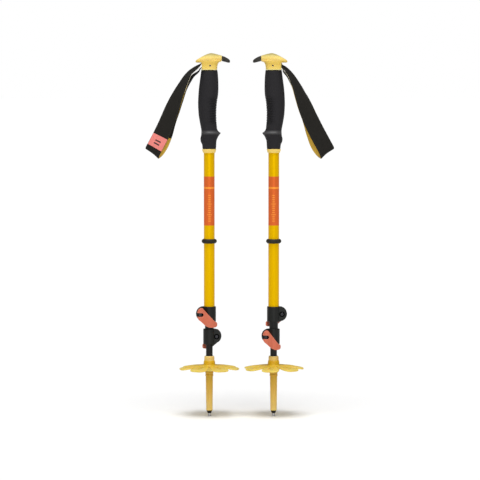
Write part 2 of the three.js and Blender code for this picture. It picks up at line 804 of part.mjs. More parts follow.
// hang.side is +1 where the strap leg that leaves the head above passes on the -Y side of the
// other, and -1 where it passes on the +Y side. hang.near is 1 where the strap hangs nearer.
// hang.lined is the share of the strap at which the lining ends.
function makePole({ name, hang, basketPhase, outerPatch }) {
  const pole = new THREE.Group();
  const add = (part, solid, look) => addMesh(pole, `${name}_${part}`, solid, look);

  add("tip_point", tipPoint(), LOOKS.steel);
  add("tip_holder", tipHolder(), LOOKS.tipBlack);
  add("tip_ferrule", tipFerrule(), LOOKS.ferrule);
  add("basket", basket(basketPhase), LOOKS.basket);
  add("lower_shaft", lowerTube(), LOOKS.shaftBlack);
  add("lower_bush", bush(LOWER_TUBE, LOWER_BUSH_RADIUS), LOOKS.tipBlack);
  add("middle_shaft", tube(MIDDLE_TUBE), LOOKS.shaftBlack);
  add("middle_bush", bush(MIDDLE_TUBE, MIDDLE_BUSH_RADIUS), LOOKS.tipBlack);
  add("upper_shaft", tube(UPPER_TUBE), LOOKS.shaftYellow);
  addClamp(pole, `${name}_upper_clamp`, UPPER_CLAMP);
  addClamp(pole, `${name}_lower_clamp`, LOWER_CLAMP).rotation.z = Math.PI;
  add("shaft_ring", shaftRing(), LOOKS.ringRubber);
  add("grip_end_ring", endRing(), LOOKS.gripYellow);
  add("grip_foam", gripFoam(), LOOKS.foam);
  add("grip_head", gripHead(), LOOKS.gripYellow);
  add("beak_insert", beakInsert(), LOOKS.beak);
  add("strap_pin", strapPin(), LOOKS.steel);
  add("strap_anchor", strapAnchor(), LOOKS.webbing);

  add("strap_webbing", strapWebbing(hang), LOOKS.webbing);
  add("strap_lining", strapLining(hang), LOOKS.lining);
  add("strap_patch", strapPatch(hang, outerPatch), LOOKS.coral);
  return pole;
}

const pair = new THREE.Group();
const left = makePole({
  name: "left",
  hang: { side: 1, near: 0, lined: 0.63 },
  basketPhase: 39.4,
  outerPatch: true,
});
left.position.x = PAIR_SHIFT - POLE_SPACING / 2;
const right = makePole({
  name: "right",
  hang: { side: -1, near: 1, lined: 0.71 },
  basketPhase: 30.4,
  outerPatch: false,
});
right.position.x = PAIR_SHIFT + POLE_SPACING / 2;
right.rotation.z = Math.PI;
pair.add(left, right);

export default pair;
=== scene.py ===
"""Looks for a pair of collapsed three-section ski poles with wrist straps, lever clamps and
powder baskets. Each visible CAD node is rebuilt as a fine mesh in the space its solid holds.

A piece is drawn once in pole millimetres (axis on Z, beak towards +X, strap towards -X) and
then put on each pole, in metres. The dimensions repeat the driving dimensions of the CAD part.
"""

import json
import math

import bmesh
import bpy
import numpy as np
from mathutils import Matrix, Vector


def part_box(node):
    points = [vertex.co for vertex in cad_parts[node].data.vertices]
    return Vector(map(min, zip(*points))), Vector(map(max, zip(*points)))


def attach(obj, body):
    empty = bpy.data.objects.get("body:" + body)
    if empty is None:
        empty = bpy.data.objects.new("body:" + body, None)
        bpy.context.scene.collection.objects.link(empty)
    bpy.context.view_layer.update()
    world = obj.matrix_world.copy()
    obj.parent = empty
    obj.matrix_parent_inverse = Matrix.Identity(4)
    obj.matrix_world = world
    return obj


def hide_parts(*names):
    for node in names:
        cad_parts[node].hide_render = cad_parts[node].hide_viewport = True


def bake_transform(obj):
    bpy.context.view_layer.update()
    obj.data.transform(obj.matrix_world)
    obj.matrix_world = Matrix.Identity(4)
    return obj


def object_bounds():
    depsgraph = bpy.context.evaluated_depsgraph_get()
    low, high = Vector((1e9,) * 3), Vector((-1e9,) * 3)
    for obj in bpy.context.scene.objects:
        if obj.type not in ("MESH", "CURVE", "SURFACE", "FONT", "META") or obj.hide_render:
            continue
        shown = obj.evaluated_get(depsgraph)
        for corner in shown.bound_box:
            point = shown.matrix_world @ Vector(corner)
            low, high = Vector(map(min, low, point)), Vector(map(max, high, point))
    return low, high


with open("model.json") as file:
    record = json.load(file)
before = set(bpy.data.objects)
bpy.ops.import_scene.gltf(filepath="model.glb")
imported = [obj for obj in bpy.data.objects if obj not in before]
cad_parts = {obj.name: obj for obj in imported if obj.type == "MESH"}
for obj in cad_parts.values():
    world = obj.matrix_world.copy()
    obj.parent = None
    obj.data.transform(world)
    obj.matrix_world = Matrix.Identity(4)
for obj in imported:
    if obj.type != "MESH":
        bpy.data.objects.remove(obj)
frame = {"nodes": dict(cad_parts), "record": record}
cad_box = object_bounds()

MM = 0.001
RIDGE_PITCH, RIDGE_DEPTH = 2.8, 1.0  # finger ridges of the foam
RIDGE_RUN, RIDGE_FADE = (492.0, 545.0), 8.0  # heights between which they run and fade out
SIDES = 112  # sides of a turned piece
FAR = 60.0  # reach of a cutting block past the piece it cuts
GAP = 0.3

POLES = ("left", "right")
NODE_BODY = {
    node: body
    for body, nodes in frame["record"]["behaviour"]["bodies"].items()
    for node in nodes
}


def pole_matrix(pole):
    """Pole millimetres to the row frame in metres."""
    low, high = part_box(f"{pole}_upper_shaft")
    middle = (low + high) / 2
    turn = 0 if pole == "left" else math.pi
    place = Matrix.Translation((middle.x, middle.y, 0))
    return place @ Matrix.Rotation(turn, 4, "Z") @ Matrix.Scale(MM, 4)


POLE_MATRIX = {pole: pole_matrix(pole) for pole in POLES}

# ------------------------------------------------------------------ camera

CAMERA_DISTANCE = 4.6
CAMERA_HEIGHT = 0.62
VIEW_WIDTH = 0.8097  # width of the view at the poles
SENSOR = 36.0


def make_camera():
    low, high = cad_box
    target = Vector((-0.0005, 0, (low.z + high.z) / 2 - 0.0079))
    data = bpy.data.cameras.new("camera")
    data.sensor_width = SENSOR
    data.lens = SENSOR * CAMERA_DISTANCE / VIEW_WIDTH
    data.clip_end = 100
    camera = bpy.data.objects.new("camera", data)
    camera.location = (target.x, -CAMERA_DISTANCE, CAMERA_HEIGHT)
    camera.rotation_mode = "QUATERNION"
    camera.rotation_quaternion = (target - camera.location).to_track_quat("-Z", "Y")
    bpy.context.scene.collection.objects.link(camera)
    bpy.context.scene.camera = camera


make_camera()

# ------------------------------------------------------------------ materials


def rgb(red, green, blue):
    """An sRGB colour from 0 to 255 as the linear colour that a shader takes."""
    shares = [c / 255 for c in (red, green, blue)]
    return tuple(s / 12.92 if s <= 0.04045 else ((s + 0.055) / 1.055) ** 2.4 for s in shares) + (1,)


class Look:
    """A Principled material built up node by node."""

    def __init__(self, name, **fixed):
        self.material = bpy.data.materials.new(name)
        self.material.use_nodes = True
        self.nodes = self.material.node_tree.nodes
        self.links = self.material.node_tree.links
        self.shader = self.nodes["Principled BSDF"]
        for socket, value in fixed.items():
            self.shader.inputs[socket.replace("_", " ")].default_value = value

    def add(self, kind, *values, **settings):
        """A node with its settings, and its inputs linked or set in order."""
        node = self.nodes.new(kind)
        for key, value in settings.items():
            setattr(node, key, value)
        for socket, value in zip(node.inputs, values, strict=False):
            self.feed(socket, value)
        return node

    def feed(self, socket, value):
        if isinstance(value, bpy.types.NodeSocket):
            self.links.new(value, socket)
        elif value is not None:
            socket.default_value = value

    def maths(self, operation, a, b=0.0, c=0.0):
        return self.add("ShaderNodeMath", a, b, c, operation=operation).outputs[0]

    def where(self, name="local"):
        """Pole millimetres, or the cloth's own across, along and side, from the mesh."""
        return self.add("ShaderNodeAttribute", attribute_name=name).outputs["Vector"]

    def axes(self, vector):
        return self.add("ShaderNodeSeparateXYZ", vector).outputs

    def scaled(self, vector, scale):
        node = self.add("ShaderNodeVectorMath", vector, operation="MULTIPLY")
        node.inputs[1].default_value = scale
        return node.outputs[0]

    def noise(self, vector, scale, detail=3.0):
        node = self.add("ShaderNodeTexNoise", vector)
        node.inputs["Scale"].default_value = scale
        node.inputs["Detail"].default_value = detail
        return node.outputs["Fac"]

    def cells(self, vector, scale):
        node = self.add("ShaderNodeTexVoronoi", vector)
        node.inputs["Scale"].default_value = scale
        return node.outputs["Distance"]

    def times(self, a, b):
        return self.maths("MULTIPLY", a, b)

    def between(self, value, low, high):
        above = self.maths("GREATER_THAN", value, low)
        return self.times(above, self.maths("LESS_THAN", value, high))

    def spread(self, value, low, high, to_low=0.0, to_high=1.0):
        return self.add("ShaderNodeMapRange", value, low, high, to_low, to_high).outputs[0]

    def ramp(self, value, stops, interpolation="LINEAR"):
        node = self.add("ShaderNodeValToRGB", value)
        node.color_ramp.interpolation = interpolation
        marks = node.color_ramp.elements
        while len(marks) < len(stops):
            marks.new(1.0)
        for mark, (at, colour) in zip(marks, stops, strict=True):
            mark.position = at
            mark.color = colour
        return node.outputs["Color"]

    def mix(self, share, a, b, blend="MIX"):
        node = self.add("ShaderNodeMix", data_type="RGBA", blend_type=blend)
        self.feed(node.inputs[0], share)
        self.feed(node.inputs[6], a)
        self.feed(node.inputs[7], b)
        return node.outputs[2]

    def colour(self, value):
        self.feed(self.shader.inputs["Base Color"], value)

    def finished(self, rough, low, high, height, depth_mm, strength):
        """The material, once its roughness and its bump are set."""
        self.feed(self.shader.inputs["Roughness"], self.spread(rough, 0, 1, low, high))
        node = self.add("ShaderNodeBump")
        node.inputs["Strength"].default_value = strength
        node.inputs["Distance"].default_value = depth_mm * MM
        self.feed(node.inputs["Height"], height)
        self.feed(self.shader.inputs["Normal"], node.outputs[0])
        return self.material


BAND_LOW, BAND_HIGH = 300.0, 430.0  # heights just past the printed bands
BAND_EDGES = (324.0, 386.2, 389.0, 407.0)  # two printed bands, with the line between them
TICK_PITCH, TICK_SHARE = 3.6, 0.45  # share of the pitch that is printed
TICK_RUN = (331.0, 377.0)
TICK_CENTRE, TICK_REACH, LONG_TICK_MORE = 0.6, 2.2, 1.6
LONG_TICK_EVERY = 5


def lacquer_look():
    """Yellow lacquer with two printed coral bands, an orange line and a row of plain ticks."""
    look = Look("shaft_yellow_look", Metallic=0.3, Specular_IOR_Level=0.2)
    look.shader.inputs["Specular Tint"].default_value = rgb(214, 170, 40)
    where = look.where()
    x, y, z = look.axes(where)[:3]
    flake = look.noise(where, 1.4, 4)
    wave = look.noise(look.scaled(where, (1, 1, 0.06)), 0.35)
    yellow = look.mix(wave, rgb(232, 184, 4), rgb(224, 176, 2))
    yellow = look.mix(look.spread(flake, 0.35, 0.75, 0, 0.35), yellow, rgb(210, 160, 2))
    coral = look.mix(wave, rgb(221, 106, 51), rgb(211, 98, 47))
    orange = rgb(250, 154, 60)
    bands = look.spread(z, BAND_LOW, BAND_HIGH)
    share = [(at - BAND_LOW) / (BAND_HIGH - BAND_LOW) for at in BAND_EDGES]
    black, white = rgb(0, 0, 0), rgb(255, 255, 255)
    marks = zip([0, *share], [black, white, black, white, black], strict=True)
    printed = look.ramp(bands, list(marks), "CONSTANT")
    inside = look.ramp(bands, [(0, black), (share[0], white), (share[3], black)], "CONSTANT")
    ground = look.mix(inside, yellow, orange)
    paint = look.mix(printed, ground, coral)
    step = look.maths("FRACT", look.maths("DIVIDE", z, TICK_PITCH))
    long_step = look.maths("FRACT", look.maths("DIVIDE", z, TICK_PITCH * LONG_TICK_EVERY))
    long_tick = look.maths("LESS_THAN", long_step, 1 / LONG_TICK_EVERY)
    reach = look.maths("MULTIPLY_ADD", long_tick, LONG_TICK_MORE, TICK_REACH)
    off_centre = look.maths("ABSOLUTE", look.maths("SUBTRACT", x, TICK_CENTRE))
    thin = look.maths("LESS_THAN", step, TICK_SHARE)
    near = look.maths("LESS_THAN", off_centre, reach)
    tick = look.times(look.times(thin, near), look.between(z, *TICK_RUN))
    look.colour(look.mix(look.times(tick, 0.8), paint, rgb(242, 150, 62)))
    rough = look.noise(look.scaled(where, (1, 1, 0.1)), 0.8)
    height = look.maths("ADD", flake, look.times(printed, 2))
    return look.finished(rough, 0.26, 0.4, height, 0.02, 0.5)


def tube_look():
    """Satin black anodised tube, drawn lengthwise."""
    look = Look("shaft_black_look", Specular_IOR_Level=0.25)
    where = look.where()
    drawn = look.noise(look.scaled(where, (1, 1, 0.03)), 2.5, 4)
    look.colour(look.mix(drawn, rgb(11, 11, 10), rgb(17, 17, 15)))
    return look.finished(look.noise(where, 0.3), 0.3, 0.46, drawn, 0.02, 0.4)


HEAD_LOW, HEAD_HIGH = 586.0, 616.0
COLLAR_BELOW = 566.0  # the collar at the grip's foot is all below this
# Painted light by height: a pale painted highlight on the neck's lower rim and a band across the cap,
# painted shade in the crease under the cap, and darker towards the top.
HEAD_TONES_AND_PAINTED_LIGHT = [  # share of the way from HEAD_LOW to HEAD_HIGH, colour
    (0.0, rgb(232, 215, 140)), (0.05, rgb(232, 214, 134)), (0.08, rgb(236, 206, 104)),
    (0.36, rgb(222, 188, 82)), (0.47, rgb(224, 190, 84)), (0.56, rgb(240, 206, 112)),
    (0.72, rgb(243, 217, 124)), (0.8, rgb(214, 195, 115)), (0.88, rgb(184, 171, 106)),
    (1.0, rgb(176, 163, 102)),
]


def grip_plastic_look():
    """Soft yellow moulded plastic with a fine grain, and light and shade painted by height: a pale
    painted highlight on the neck's lower rim and a band across the cap, painted shade in the crease
    under the cap, and darker towards the top.
    """
    look = Look(
        "grip_yellow_look", Subsurface_Weight=0.12, Subsurface_Scale=0.003, Specular_IOR_Level=0.3
    )
    look.shader.inputs["Subsurface Radius"].default_value = (1.0, 0.7, 0.2)
    where = look.where()
    z = look.axes(where)[2]
    grain = look.noise(where, 4.0, 4)
    cloud = look.noise(where, 0.12)
    # the head's colour by height, with its painted highlights and painted shade
    body = look.ramp(look.spread(z, HEAD_LOW, HEAD_HIGH), HEAD_TONES_AND_PAINTED_LIGHT)
    collar = look.maths("LESS_THAN", z, COLLAR_BELOW)
    body = look.mix(collar, body, rgb(243, 211, 114))
    look.colour(look.mix(look.spread(cloud, 0.3, 0.8, 0, 0.2), body, rgb(228, 190, 96)))
    return look.finished(grain, 0.42, 0.6, grain, 0.03, 0.5)


LIP_Z = 481.5  # the smooth top of the foam's flared stop


def foam_look():
    """Closed-cell grip foam: fine pits with painted shade in them, faint mottling, painted shade in
    the finger grooves and a smooth lip.
    """
    look = Look("grip_foam_look")
    where = look.where()
    pits = look.cells(where, 2.2)
    mottle = look.noise(where, 0.25, 5)
    base = look.mix(mottle, rgb(35, 34, 36), rgb(44, 43, 45))
    # painted shade: darker in the pits, where the bump is lowest
    base = look.mix(look.spread(pits, 0.0, 0.35, 0.5, 0), base, rgb(30, 29, 31))
    x, _, z = look.axes(where)[:3]
    wave = look.maths("SINE", look.times(z, 2 * math.pi / RIDGE_PITCH))
    low, high = RIDGE_RUN
    rise = look.spread(z, low, low + RIDGE_FADE)
    run = look.times(rise, look.spread(z, high, high - RIDGE_FADE))
    run = look.times(run, look.spread(x, -5, 3))
    # painted shade: darker stripes across the ridged front, one to each ridge pitch
    groove = look.times(look.spread(wave, -1, 1), look.times(run, 0.55))
    look.colour(look.mix(groove, base, rgb(20, 19, 21)))
    off_lip = look.maths("ABSOLUTE", look.maths("SUBTRACT", z, LIP_Z))
    look.feed(look.shader.inputs["Specular IOR Level"], look.spread(off_lip, 1.0, 4.0, 0.9, 0.1))
    rough = mottle
    height = look.maths("ADD", pits, look.times(mottle, 0.6))
    return look.finished(rough, 0.5, 0.72, height, 0.08, 0.6)


def rubber_look(name, dark, light, grain=3.0):
    look = Look(name, Specular_IOR_Level=0.25)
    where = look.where()
    speck = look.noise(where, grain, 5)
    bloom = look.noise(where, 0.2)
    look.colour(look.mix(look.spread(bloom, 0.3, 0.7), dark, light))
    return look.finished(speck, 0.5, 0.72, speck, 0.05, 0.6)


def clamp_look():
    """Black glass-filled nylon: fine grain, and faint flow marks in its tone and roughness."""
    look = Look("clamp_black_look", Specular_IOR_Level=0.25)
    where = look.where()
    grain = look.noise(where, 5.0, 5)
    flow = look.noise(look.scaled(where, (1, 1, 0.4)), 0.35, 4)
    look.colour(look.mix(look.spread(flow, 0.3, 0.7), rgb(15, 17, 15), rgb(22, 24, 21)))
    return look.finished(flow, 0.32, 0.52, grain, 0.05, 0.5)


def lever_look():
    """Coral moulded lever with slight flow marks, and a painted highlight that makes its sharper edges
    paler.
    """
    look = Look(
        "lever_coral_look", Subsurface_Weight=0.08, Subsurface_Scale=0.002, Specular_IOR_Level=0.3
    )
    where = look.where()
    grain = look.noise(where, 4.0, 4)
    flow = look.noise(look.scaled(where, (1, 1, 0.5)), 0.22, 4)
    # painted highlight: convex edges, found by pointiness, mixed towards a pale coral
    edge = look.spread(look.add("ShaderNodeNewGeometry").outputs["Pointiness"], 0.505, 0.56)
    base = look.mix(flow, rgb(209, 113, 85), rgb(196, 100, 73))
    look.colour(look.mix(look.times(edge, 0.75), base, rgb(240, 158, 140)))
    return look.finished(grain, 0.34, 0.5, grain, 0.03, 0.5)


def translucent_look(name, stops, low, high):
    """Slightly milky moulded plastic whose tone changes with height."""
    look = Look(name, Subsurface_Weight=0.3, Subsurface_Scale=0.004, Specular_IOR_Level=0.3)
    look.shader.inputs["Subsurface Radius"].default_value = (1.0, 0.6, 0.15)
    where = look.where()
    z = look.axes(where)[2]
    cloud = look.noise(where, 0.12, 4)
    grain = look.noise(where, 3.0, 3)
    tone = look.ramp(look.spread(z, low, high), stops)
    look.colour(look.mix(look.spread(cloud, 0.3, 0.75, 0, 0.3), tone, rgb(206, 158, 44)))
    return look.finished(look.noise(where, 0.5), 0.3, 0.46, grain, 0.03, 0.4)


def metal_look(name, dark, light, low, high):
    """Turned metal with fine rings round the axis."""
    look = Look(name, Metallic=1.0)
    where = look.where()
    rings = look.noise(look.scaled(where, (0.2, 0.2, 6)), 1.0, 4)
    scuff = look.noise(where, 0.9, 4)
    look.colour(look.mix(scuff, dark, light))
    return look.finished(scuff, low, high, rings, 0.02, 0.5)


def webbing_look():
    """Black herringbone webbing: diagonal ribs that turn back every few millimetres."""
    look = Look("strap_fabric_look", Specular_IOR_Level=0.1)
    across, along = look.axes(look.where("cloth"))[:2]
    zigzag = look.maths("PINGPONG", across, 1.7)
    wave = look.maths("SINE", look.times(look.maths("ADD", along, zigzag), 5.2))
    warp = look.maths("SINE", look.times(across, 11.0))
    weave = look.maths("ADD", wave, look.times(warp, 0.5))
    fuzz = look.noise(look.where("cloth"), 2.2, 5)
    thread = look.mix(look.spread(weave, -1.5, 1.5), rgb(24, 23, 21), rgb(46, 44, 40))
    look.colour(look.mix(look.spread(fuzz, 0.35, 0.8, 0, 0.4), thread, rgb(36, 35, 32)))
    return look.finished(fuzz, 0.7, 0.9, look.maths("ADD", weave, fuzz), 0.14, 0.7)


def lining_look():
    """Yellow spacer mesh: small round cells in staggered rows, with painted shade in their hollows."""
    look = Look("strap_lining_look", Sheen_Weight=0.2, Sheen_Roughness=0.5)
    cloth = look.where("cloth")
    cells = look.cells(cloth, 0.75)
    fuzz = look.noise(cloth, 1.5, 5)
    base = look.mix(fuzz, rgb(206, 168, 52), rgb(220, 184, 70))
    # painted shade: the cells darker where the bump is lowest
    look.colour(look.mix(look.spread(cells, 0.0, 0.4, 0.6, 0), base, rgb(150, 118, 30)))
    return look.finished(fuzz, 0.7, 0.9, cells, 0.25, 0.8)


BAR_OUT, BAR_HALF_WIDTH, BAR_HALF_LENGTH = 2.6, 1.2, 5.0  # BAR_OUT is from the middle


def patch_look():
    """Woven coral label with two plain black bars. Along is measured from its middle."""
    look = Look("patch_coral_look", Sheen_Weight=0.15, Sheen_Roughness=0.4)
    cloth = look.where("cloth")
    across, along = look.axes(cloth)[:2]
    picks = look.maths("SINE", look.times(along, 9.0))
    warp = look.maths("SINE", look.times(across, 9.0))
    weave = look.times(picks, warp)
    fuzz = look.noise(cloth, 0.8, 4)
    base = look.mix(look.spread(weave, -1, 1), rgb(228, 122, 114), rgb(240, 140, 132))
    base = look.mix(look.spread(fuzz, 0.3, 0.8, 0, 0.3), base, rgb(222, 114, 104))
    from_bar = look.maths("SUBTRACT", look.maths("ABSOLUTE", along), BAR_OUT)
    bar = look.maths("LESS_THAN", look.maths("ABSOLUTE", from_bar), BAR_HALF_WIDTH)
    inside = look.maths("LESS_THAN", look.maths("ABSOLUTE", across), BAR_HALF_LENGTH)
    bar = look.times(bar, inside)
    look.colour(look.mix(bar, base, rgb(44, 30, 30)))
    return look.finished(fuzz, 0.6, 0.8, weave, 0.08, 0.6)


def thread_look(name, dark, light):
    look = Look(name)
    twist = look.noise(look.where(), 3.0, 4)
    look.colour(look.mix(twist, dark, light))
    return look.finished(twist, 0.55, 0.8, twist, 0.05, 0.6)


def hidden_look():
    """For the CAD nodes that stay, inside the tubes and clamps."""
    look = Look("inner_plastic_look")
    where = look.add("ShaderNodeTexCoord").outputs["Object"]
    speck = look.noise(where, 2500.0, 3)
    look.colour(look.mix(speck, rgb(28, 26, 24), rgb(44, 42, 38)))
    return look.finished(speck, 0.45, 0.65, speck, 0.03, 0.4)


BASKET_STOPS = [
    (0.0, rgb(222, 199, 92)), (0.3, rgb(224, 201, 96)), (0.5, rgb(210, 168, 0)),
    (0.68, rgb(216, 173, 2)), (0.78, rgb(230, 198, 118)), (0.93, rgb(227, 194, 114)),
    (0.97, rgb(248, 220, 150)), (1.0, rgb(248, 222, 150)),
]
# Tone by height, with two thin dark lines painted as shade in the grooves between the collar's thread
# ridges.
FERRULE_STOPS_WITH_PAINTED_SHADE = [
    (0.0, rgb(236, 204, 116)), (0.12, rgb(232, 198, 110)), (0.55, rgb(214, 172, 70)),
    (0.8, rgb(194, 156, 36)), (0.862, rgb(200, 158, 40)), (0.873, rgb(140, 98, 14)),
    (0.884, rgb(200, 158, 44)), (0.926, rgb(204, 160, 52)), (0.937, rgb(140, 98, 14)),
    (0.948, rgb(204, 160, 56)), (1.0, rgb(222, 180, 84)),
]

LOOKS = {
    "shaft_yellow": lacquer_look(),
    "shaft_black": tube_look(),
    "grip_yellow": grip_plastic_look(),
    "grip_foam": foam_look(),
    "beak_rubber": rubber_look("beak_rubber_look", rgb(42, 41, 38), rgb(58, 56, 51)),
    "clamp_black": clamp_look(),
    "lever_coral": lever_look(),
    "ring_rubber": rubber_look("ring_rubber_look", rgb(24, 22, 16), rgb(42, 38, 28)),
    "basket_yellow": translucent_look("basket_yellow_look", BASKET_STOPS, 74.0, 103.0),
    "ferrule_gold": translucent_look("ferrule_gold_look", FERRULE_STOPS_WITH_PAINTED_SHADE, 9.0, 81.0),
    "tip_black": rubber_look("tip_black_look", rgb(34, 28, 18), rgb(52, 44, 28), 2.0),
    "steel": metal_look("steel_look", rgb(168, 168, 170), rgb(196, 196, 198), 0.2, 0.4),
    "dark_steel": metal_look("dark_steel_look", rgb(38, 38, 40), rgb(72, 72, 76), 0.12, 0.26),
    "strap_fabric": webbing_look(),
    "strap_lining": lining_look(),
    "patch_coral": patch_look(),
    "black_thread": thread_look("black_thread_look", rgb(38, 36, 33), rgb(66, 63, 58)),
    "pale_thread": thread_look("pale_thread_look", rgb(206, 196, 160), rgb(236, 230, 208)),
    "hidden": hidden_look(),
}

# ------------------------------------------------------------------ mesh tools


def skin(rings, looped=False):
    """Points and faces of a closed skin through rings of equal count."""
    rings = np.asarray(rings, float)
    rows, count = rings.shape[:2]
    faces = []
    for i in range(rows if looped else rows - 1):
        here = i * count
        ahead = ((i + 1) % rows) * count
        for j in range(count):
            k = (j + 1) % count
            faces.append((here + j, here + k, ahead + k, ahead + j))
    if not looped:
        faces.append(tuple(reversed(range(count))))
        faces.append(tuple((rows - 1) * count + j for j in range(count)))
    return rings.reshape(-1, 3), faces


def rounded(outline, reach, steps=4):
    """A closed outline with each corner off the axis replaced by a short curve."""
    points = [Vector(p) for p in outline]
    curve = []
    for i, corner in enumerate(points):
        if corner.x == 0 or reach == 0:
            curve.append(corner)
            continue
        before = points[i - 1] - corner
        after = points[(i + 1) % len(points)] - corner
        cut = min(reach, 0.45 * before.length, 0.45 * after.length)
        start = corner + before.normalized() * cut
        end = corner + after.normalized() * cut
        for s in range(steps + 1):
            t = s / steps
            curve.append(start * (1 - t) ** 2 + corner * (2 * t * (1 - t)) + end * t**2)
    return curve


def turned(profile, fillet=0.3, sides=SIDES):
    """A closed [radius, height] profile turned about Z."""
    outline = rounded(profile, fillet)
    turns = np.linspace(0, 2 * math.pi, sides, endpoint=False)
    rings = [[(p.x * math.cos(a), p.x * math.sin(a), p.y) for a in turns] for p in outline]
    return skin(rings, looped=True)


def prism(outline, low, high, axis="z"):
    """A flat outline given a thickness: drawn in X and Y, in X and Z, or in Y and Z."""
    orders = {
        "z": lambda u, v, w: (u, v, w), "y": lambda u, v, w: (u, w, v), "x": lambda u, v, w: (w, u, v)
    }
    place = orders[axis]
    return skin([[place(u, v, w) for u, v in outline] for w in (low, high)])


def circle(radius, at=(0.0, 0.0), sides=64):
    turns = np.linspace(0, 2 * math.pi, sides, endpoint=False)
    return [(at[0] + radius * math.cos(a), at[1] + radius * math.sin(a)) for a in turns]


def arc(radius, start, end, at=(0.0, 0.0), steps=28):
    turns = np.linspace(start, end, steps)
    return [(at[0] + radius * math.cos(a), at[1] + radius * math.sin(a)) for a in turns]


def rod(radius, at, low, high, axis="z", sides=64):
    return prism(circle(radius, at, sides), low, high, axis)


def block(x0, x1, y0, y1, z0, z1):
    return prism([(x0, y0), (x1, y0), (x1, y1), (x0, y1)], z0, z1)


def clean_mesh(points, faces):
    """A mesh with shared points merged and its faces turned outwards."""
    mesh = bpy.data.meshes.new("build")
    mesh.from_pydata([tuple(p) for p in points], [], faces)
    edit = bmesh.new()
    edit.from_mesh(mesh)
    bmesh.ops.remove_doubles(edit, verts=edit.verts, dist=1e-4)
    bmesh.ops.dissolve_degenerate(edit, edges=edit.edges, dist=1e-5)
    bmesh.ops.recalc_face_normals(edit, faces=edit.faces)
    edit.to_mesh(mesh)
    edit.free()
    return mesh


def shown(name, mesh):
    obj = bpy.data.objects.new(name, mesh)
    bpy.context.scene.collection.objects.link(obj)
    return obj


def taken(obj):
    """The mesh an object's modifiers make. The object is removed."""
    graph = bpy.context.evaluated_depsgraph_get()
    mesh = bpy.data.meshes.new_from_object(obj.evaluated_get(graph))
    bpy.data.objects.remove(obj)
    return mesh


def combined(base, others, operation):
    """A mesh joined with others, cut by them, or kept only where they are."""
    body = shown("body", base)
    tools = [shown("tool", clean_mesh(*shape)) for shape in others]
    for tool in tools:
        step = body.modifiers.new(operation, "BOOLEAN")
        step.operation = operation
        step.object = tool
        step.solver = "MANIFOLD"
    mesh = taken(body)
    for tool in tools:
        bpy.data.objects.remove(tool)
    return mesh


def moulded(mesh, voxel, passes):
    """A mesh remeshed evenly and smoothed, so that its edges are rounded as in a moulding."""
    obj = shown("moulding", mesh)
    even = obj.modifiers.new("even", "REMESH")
    even.mode = "VOXEL"
    even.voxel_size = voxel
    soft = obj.modifiers.new("soft", "SMOOTH")
    soft.factor = 0.5
    soft.iterations = passes
    return taken(obj)


def half_turned(mesh):
    mesh.transform(Matrix.Rotation(math.pi, 4, "Z"))
    return mesh


def slopes(x, y):
    """Slopes through a table that keep each run between two rows free of overshoot."""
    h = np.diff(x)[:, None]
    d = np.diff(y, axis=0) / h
    m = np.vstack([d[:1], np.zeros_like(d[:-1]), d[-1:]])
    before, after = 2 * h[1:] + h[:-1], h[1:] + 2 * h[:-1]
    with np.errstate(divide="ignore", invalid="ignore"):
        mean = (before + after) / (before / d[:-1] + after / d[1:])
    m[1:-1] = np.where(d[:-1] * d[1:] > 0, mean, 0)
    return m


def filled(table, count):
    """A table read at count even places of its first column, along a smooth curve."""
    table = np.asarray(table, float)
    x, y = table[:, 0], table[:, 1:]
    m = slopes(x, y)
    at = np.linspace(x[0], x[-1], count)
    i = np.clip(np.searchsorted(x, at, side="right") - 1, 0, len(x) - 2)
    h = (x[i + 1] - x[i])[:, None]
    t = (at - x[i])[:, None] / h
    value = (1 + 2 * t) * (1 - t) ** 2 * y[i] + t * (1 - t) ** 2 * h * m[i]
    value += t**2 * (3 - 2 * t) * y[i + 1] + t**2 * (t - 1) * h * m[i + 1]
    return np.column_stack([at, value])


def squared_ring(count, power):
    """A unit ring, a little squarer than a circle, as (u, v) pairs."""
    turn = (np.arange(count) + 0.5) / count * 2 * math.pi
    c, s = np.cos(turn), np.sin(turn)
    return np.sign(c) * np.abs(c) ** (2 / power), np.sign(s) * np.abs(s) ** (2 / power)


def remember(mesh, name, values):
    stored = mesh.attributes.new(name, "FLOAT_VECTOR", "POINT")
    stored.data.foreach_set("vector", np.asarray(values, np.float32).ravel())


def points_of(mesh):
    points = np.empty(len(mesh.vertices) * 3, np.float32)
    mesh.vertices.foreach_get("co", points)
    return points.reshape(-1, 3)


def put(pole, part, mesh, look, suffix="fine", sharp=38, nodes=None):
    """The mesh on one pole, riding with its CAD node's body and standing for it."""
    mesh = mesh.copy()
    remember(mesh, "local", points_of(mesh))
    mesh.transform(POLE_MATRIX[pole])
    mesh.materials.clear()
    mesh.materials.append(LOOKS[look])
    mesh.shade_smooth()
    mesh.set_sharp_from_angle(angle=math.radians(sharp))
    node = f"{pole}_{part}"
    obj = shown(f"{node}_{suffix}", mesh)
    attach(obj, NODE_BODY[node])
    stands_for = [part] if nodes is None else nodes
    if stands_for:
        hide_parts(*[f"{pole}_{name}" for name in stands_for])
    return obj


# ------------------------------------------------------------------ tip and basket

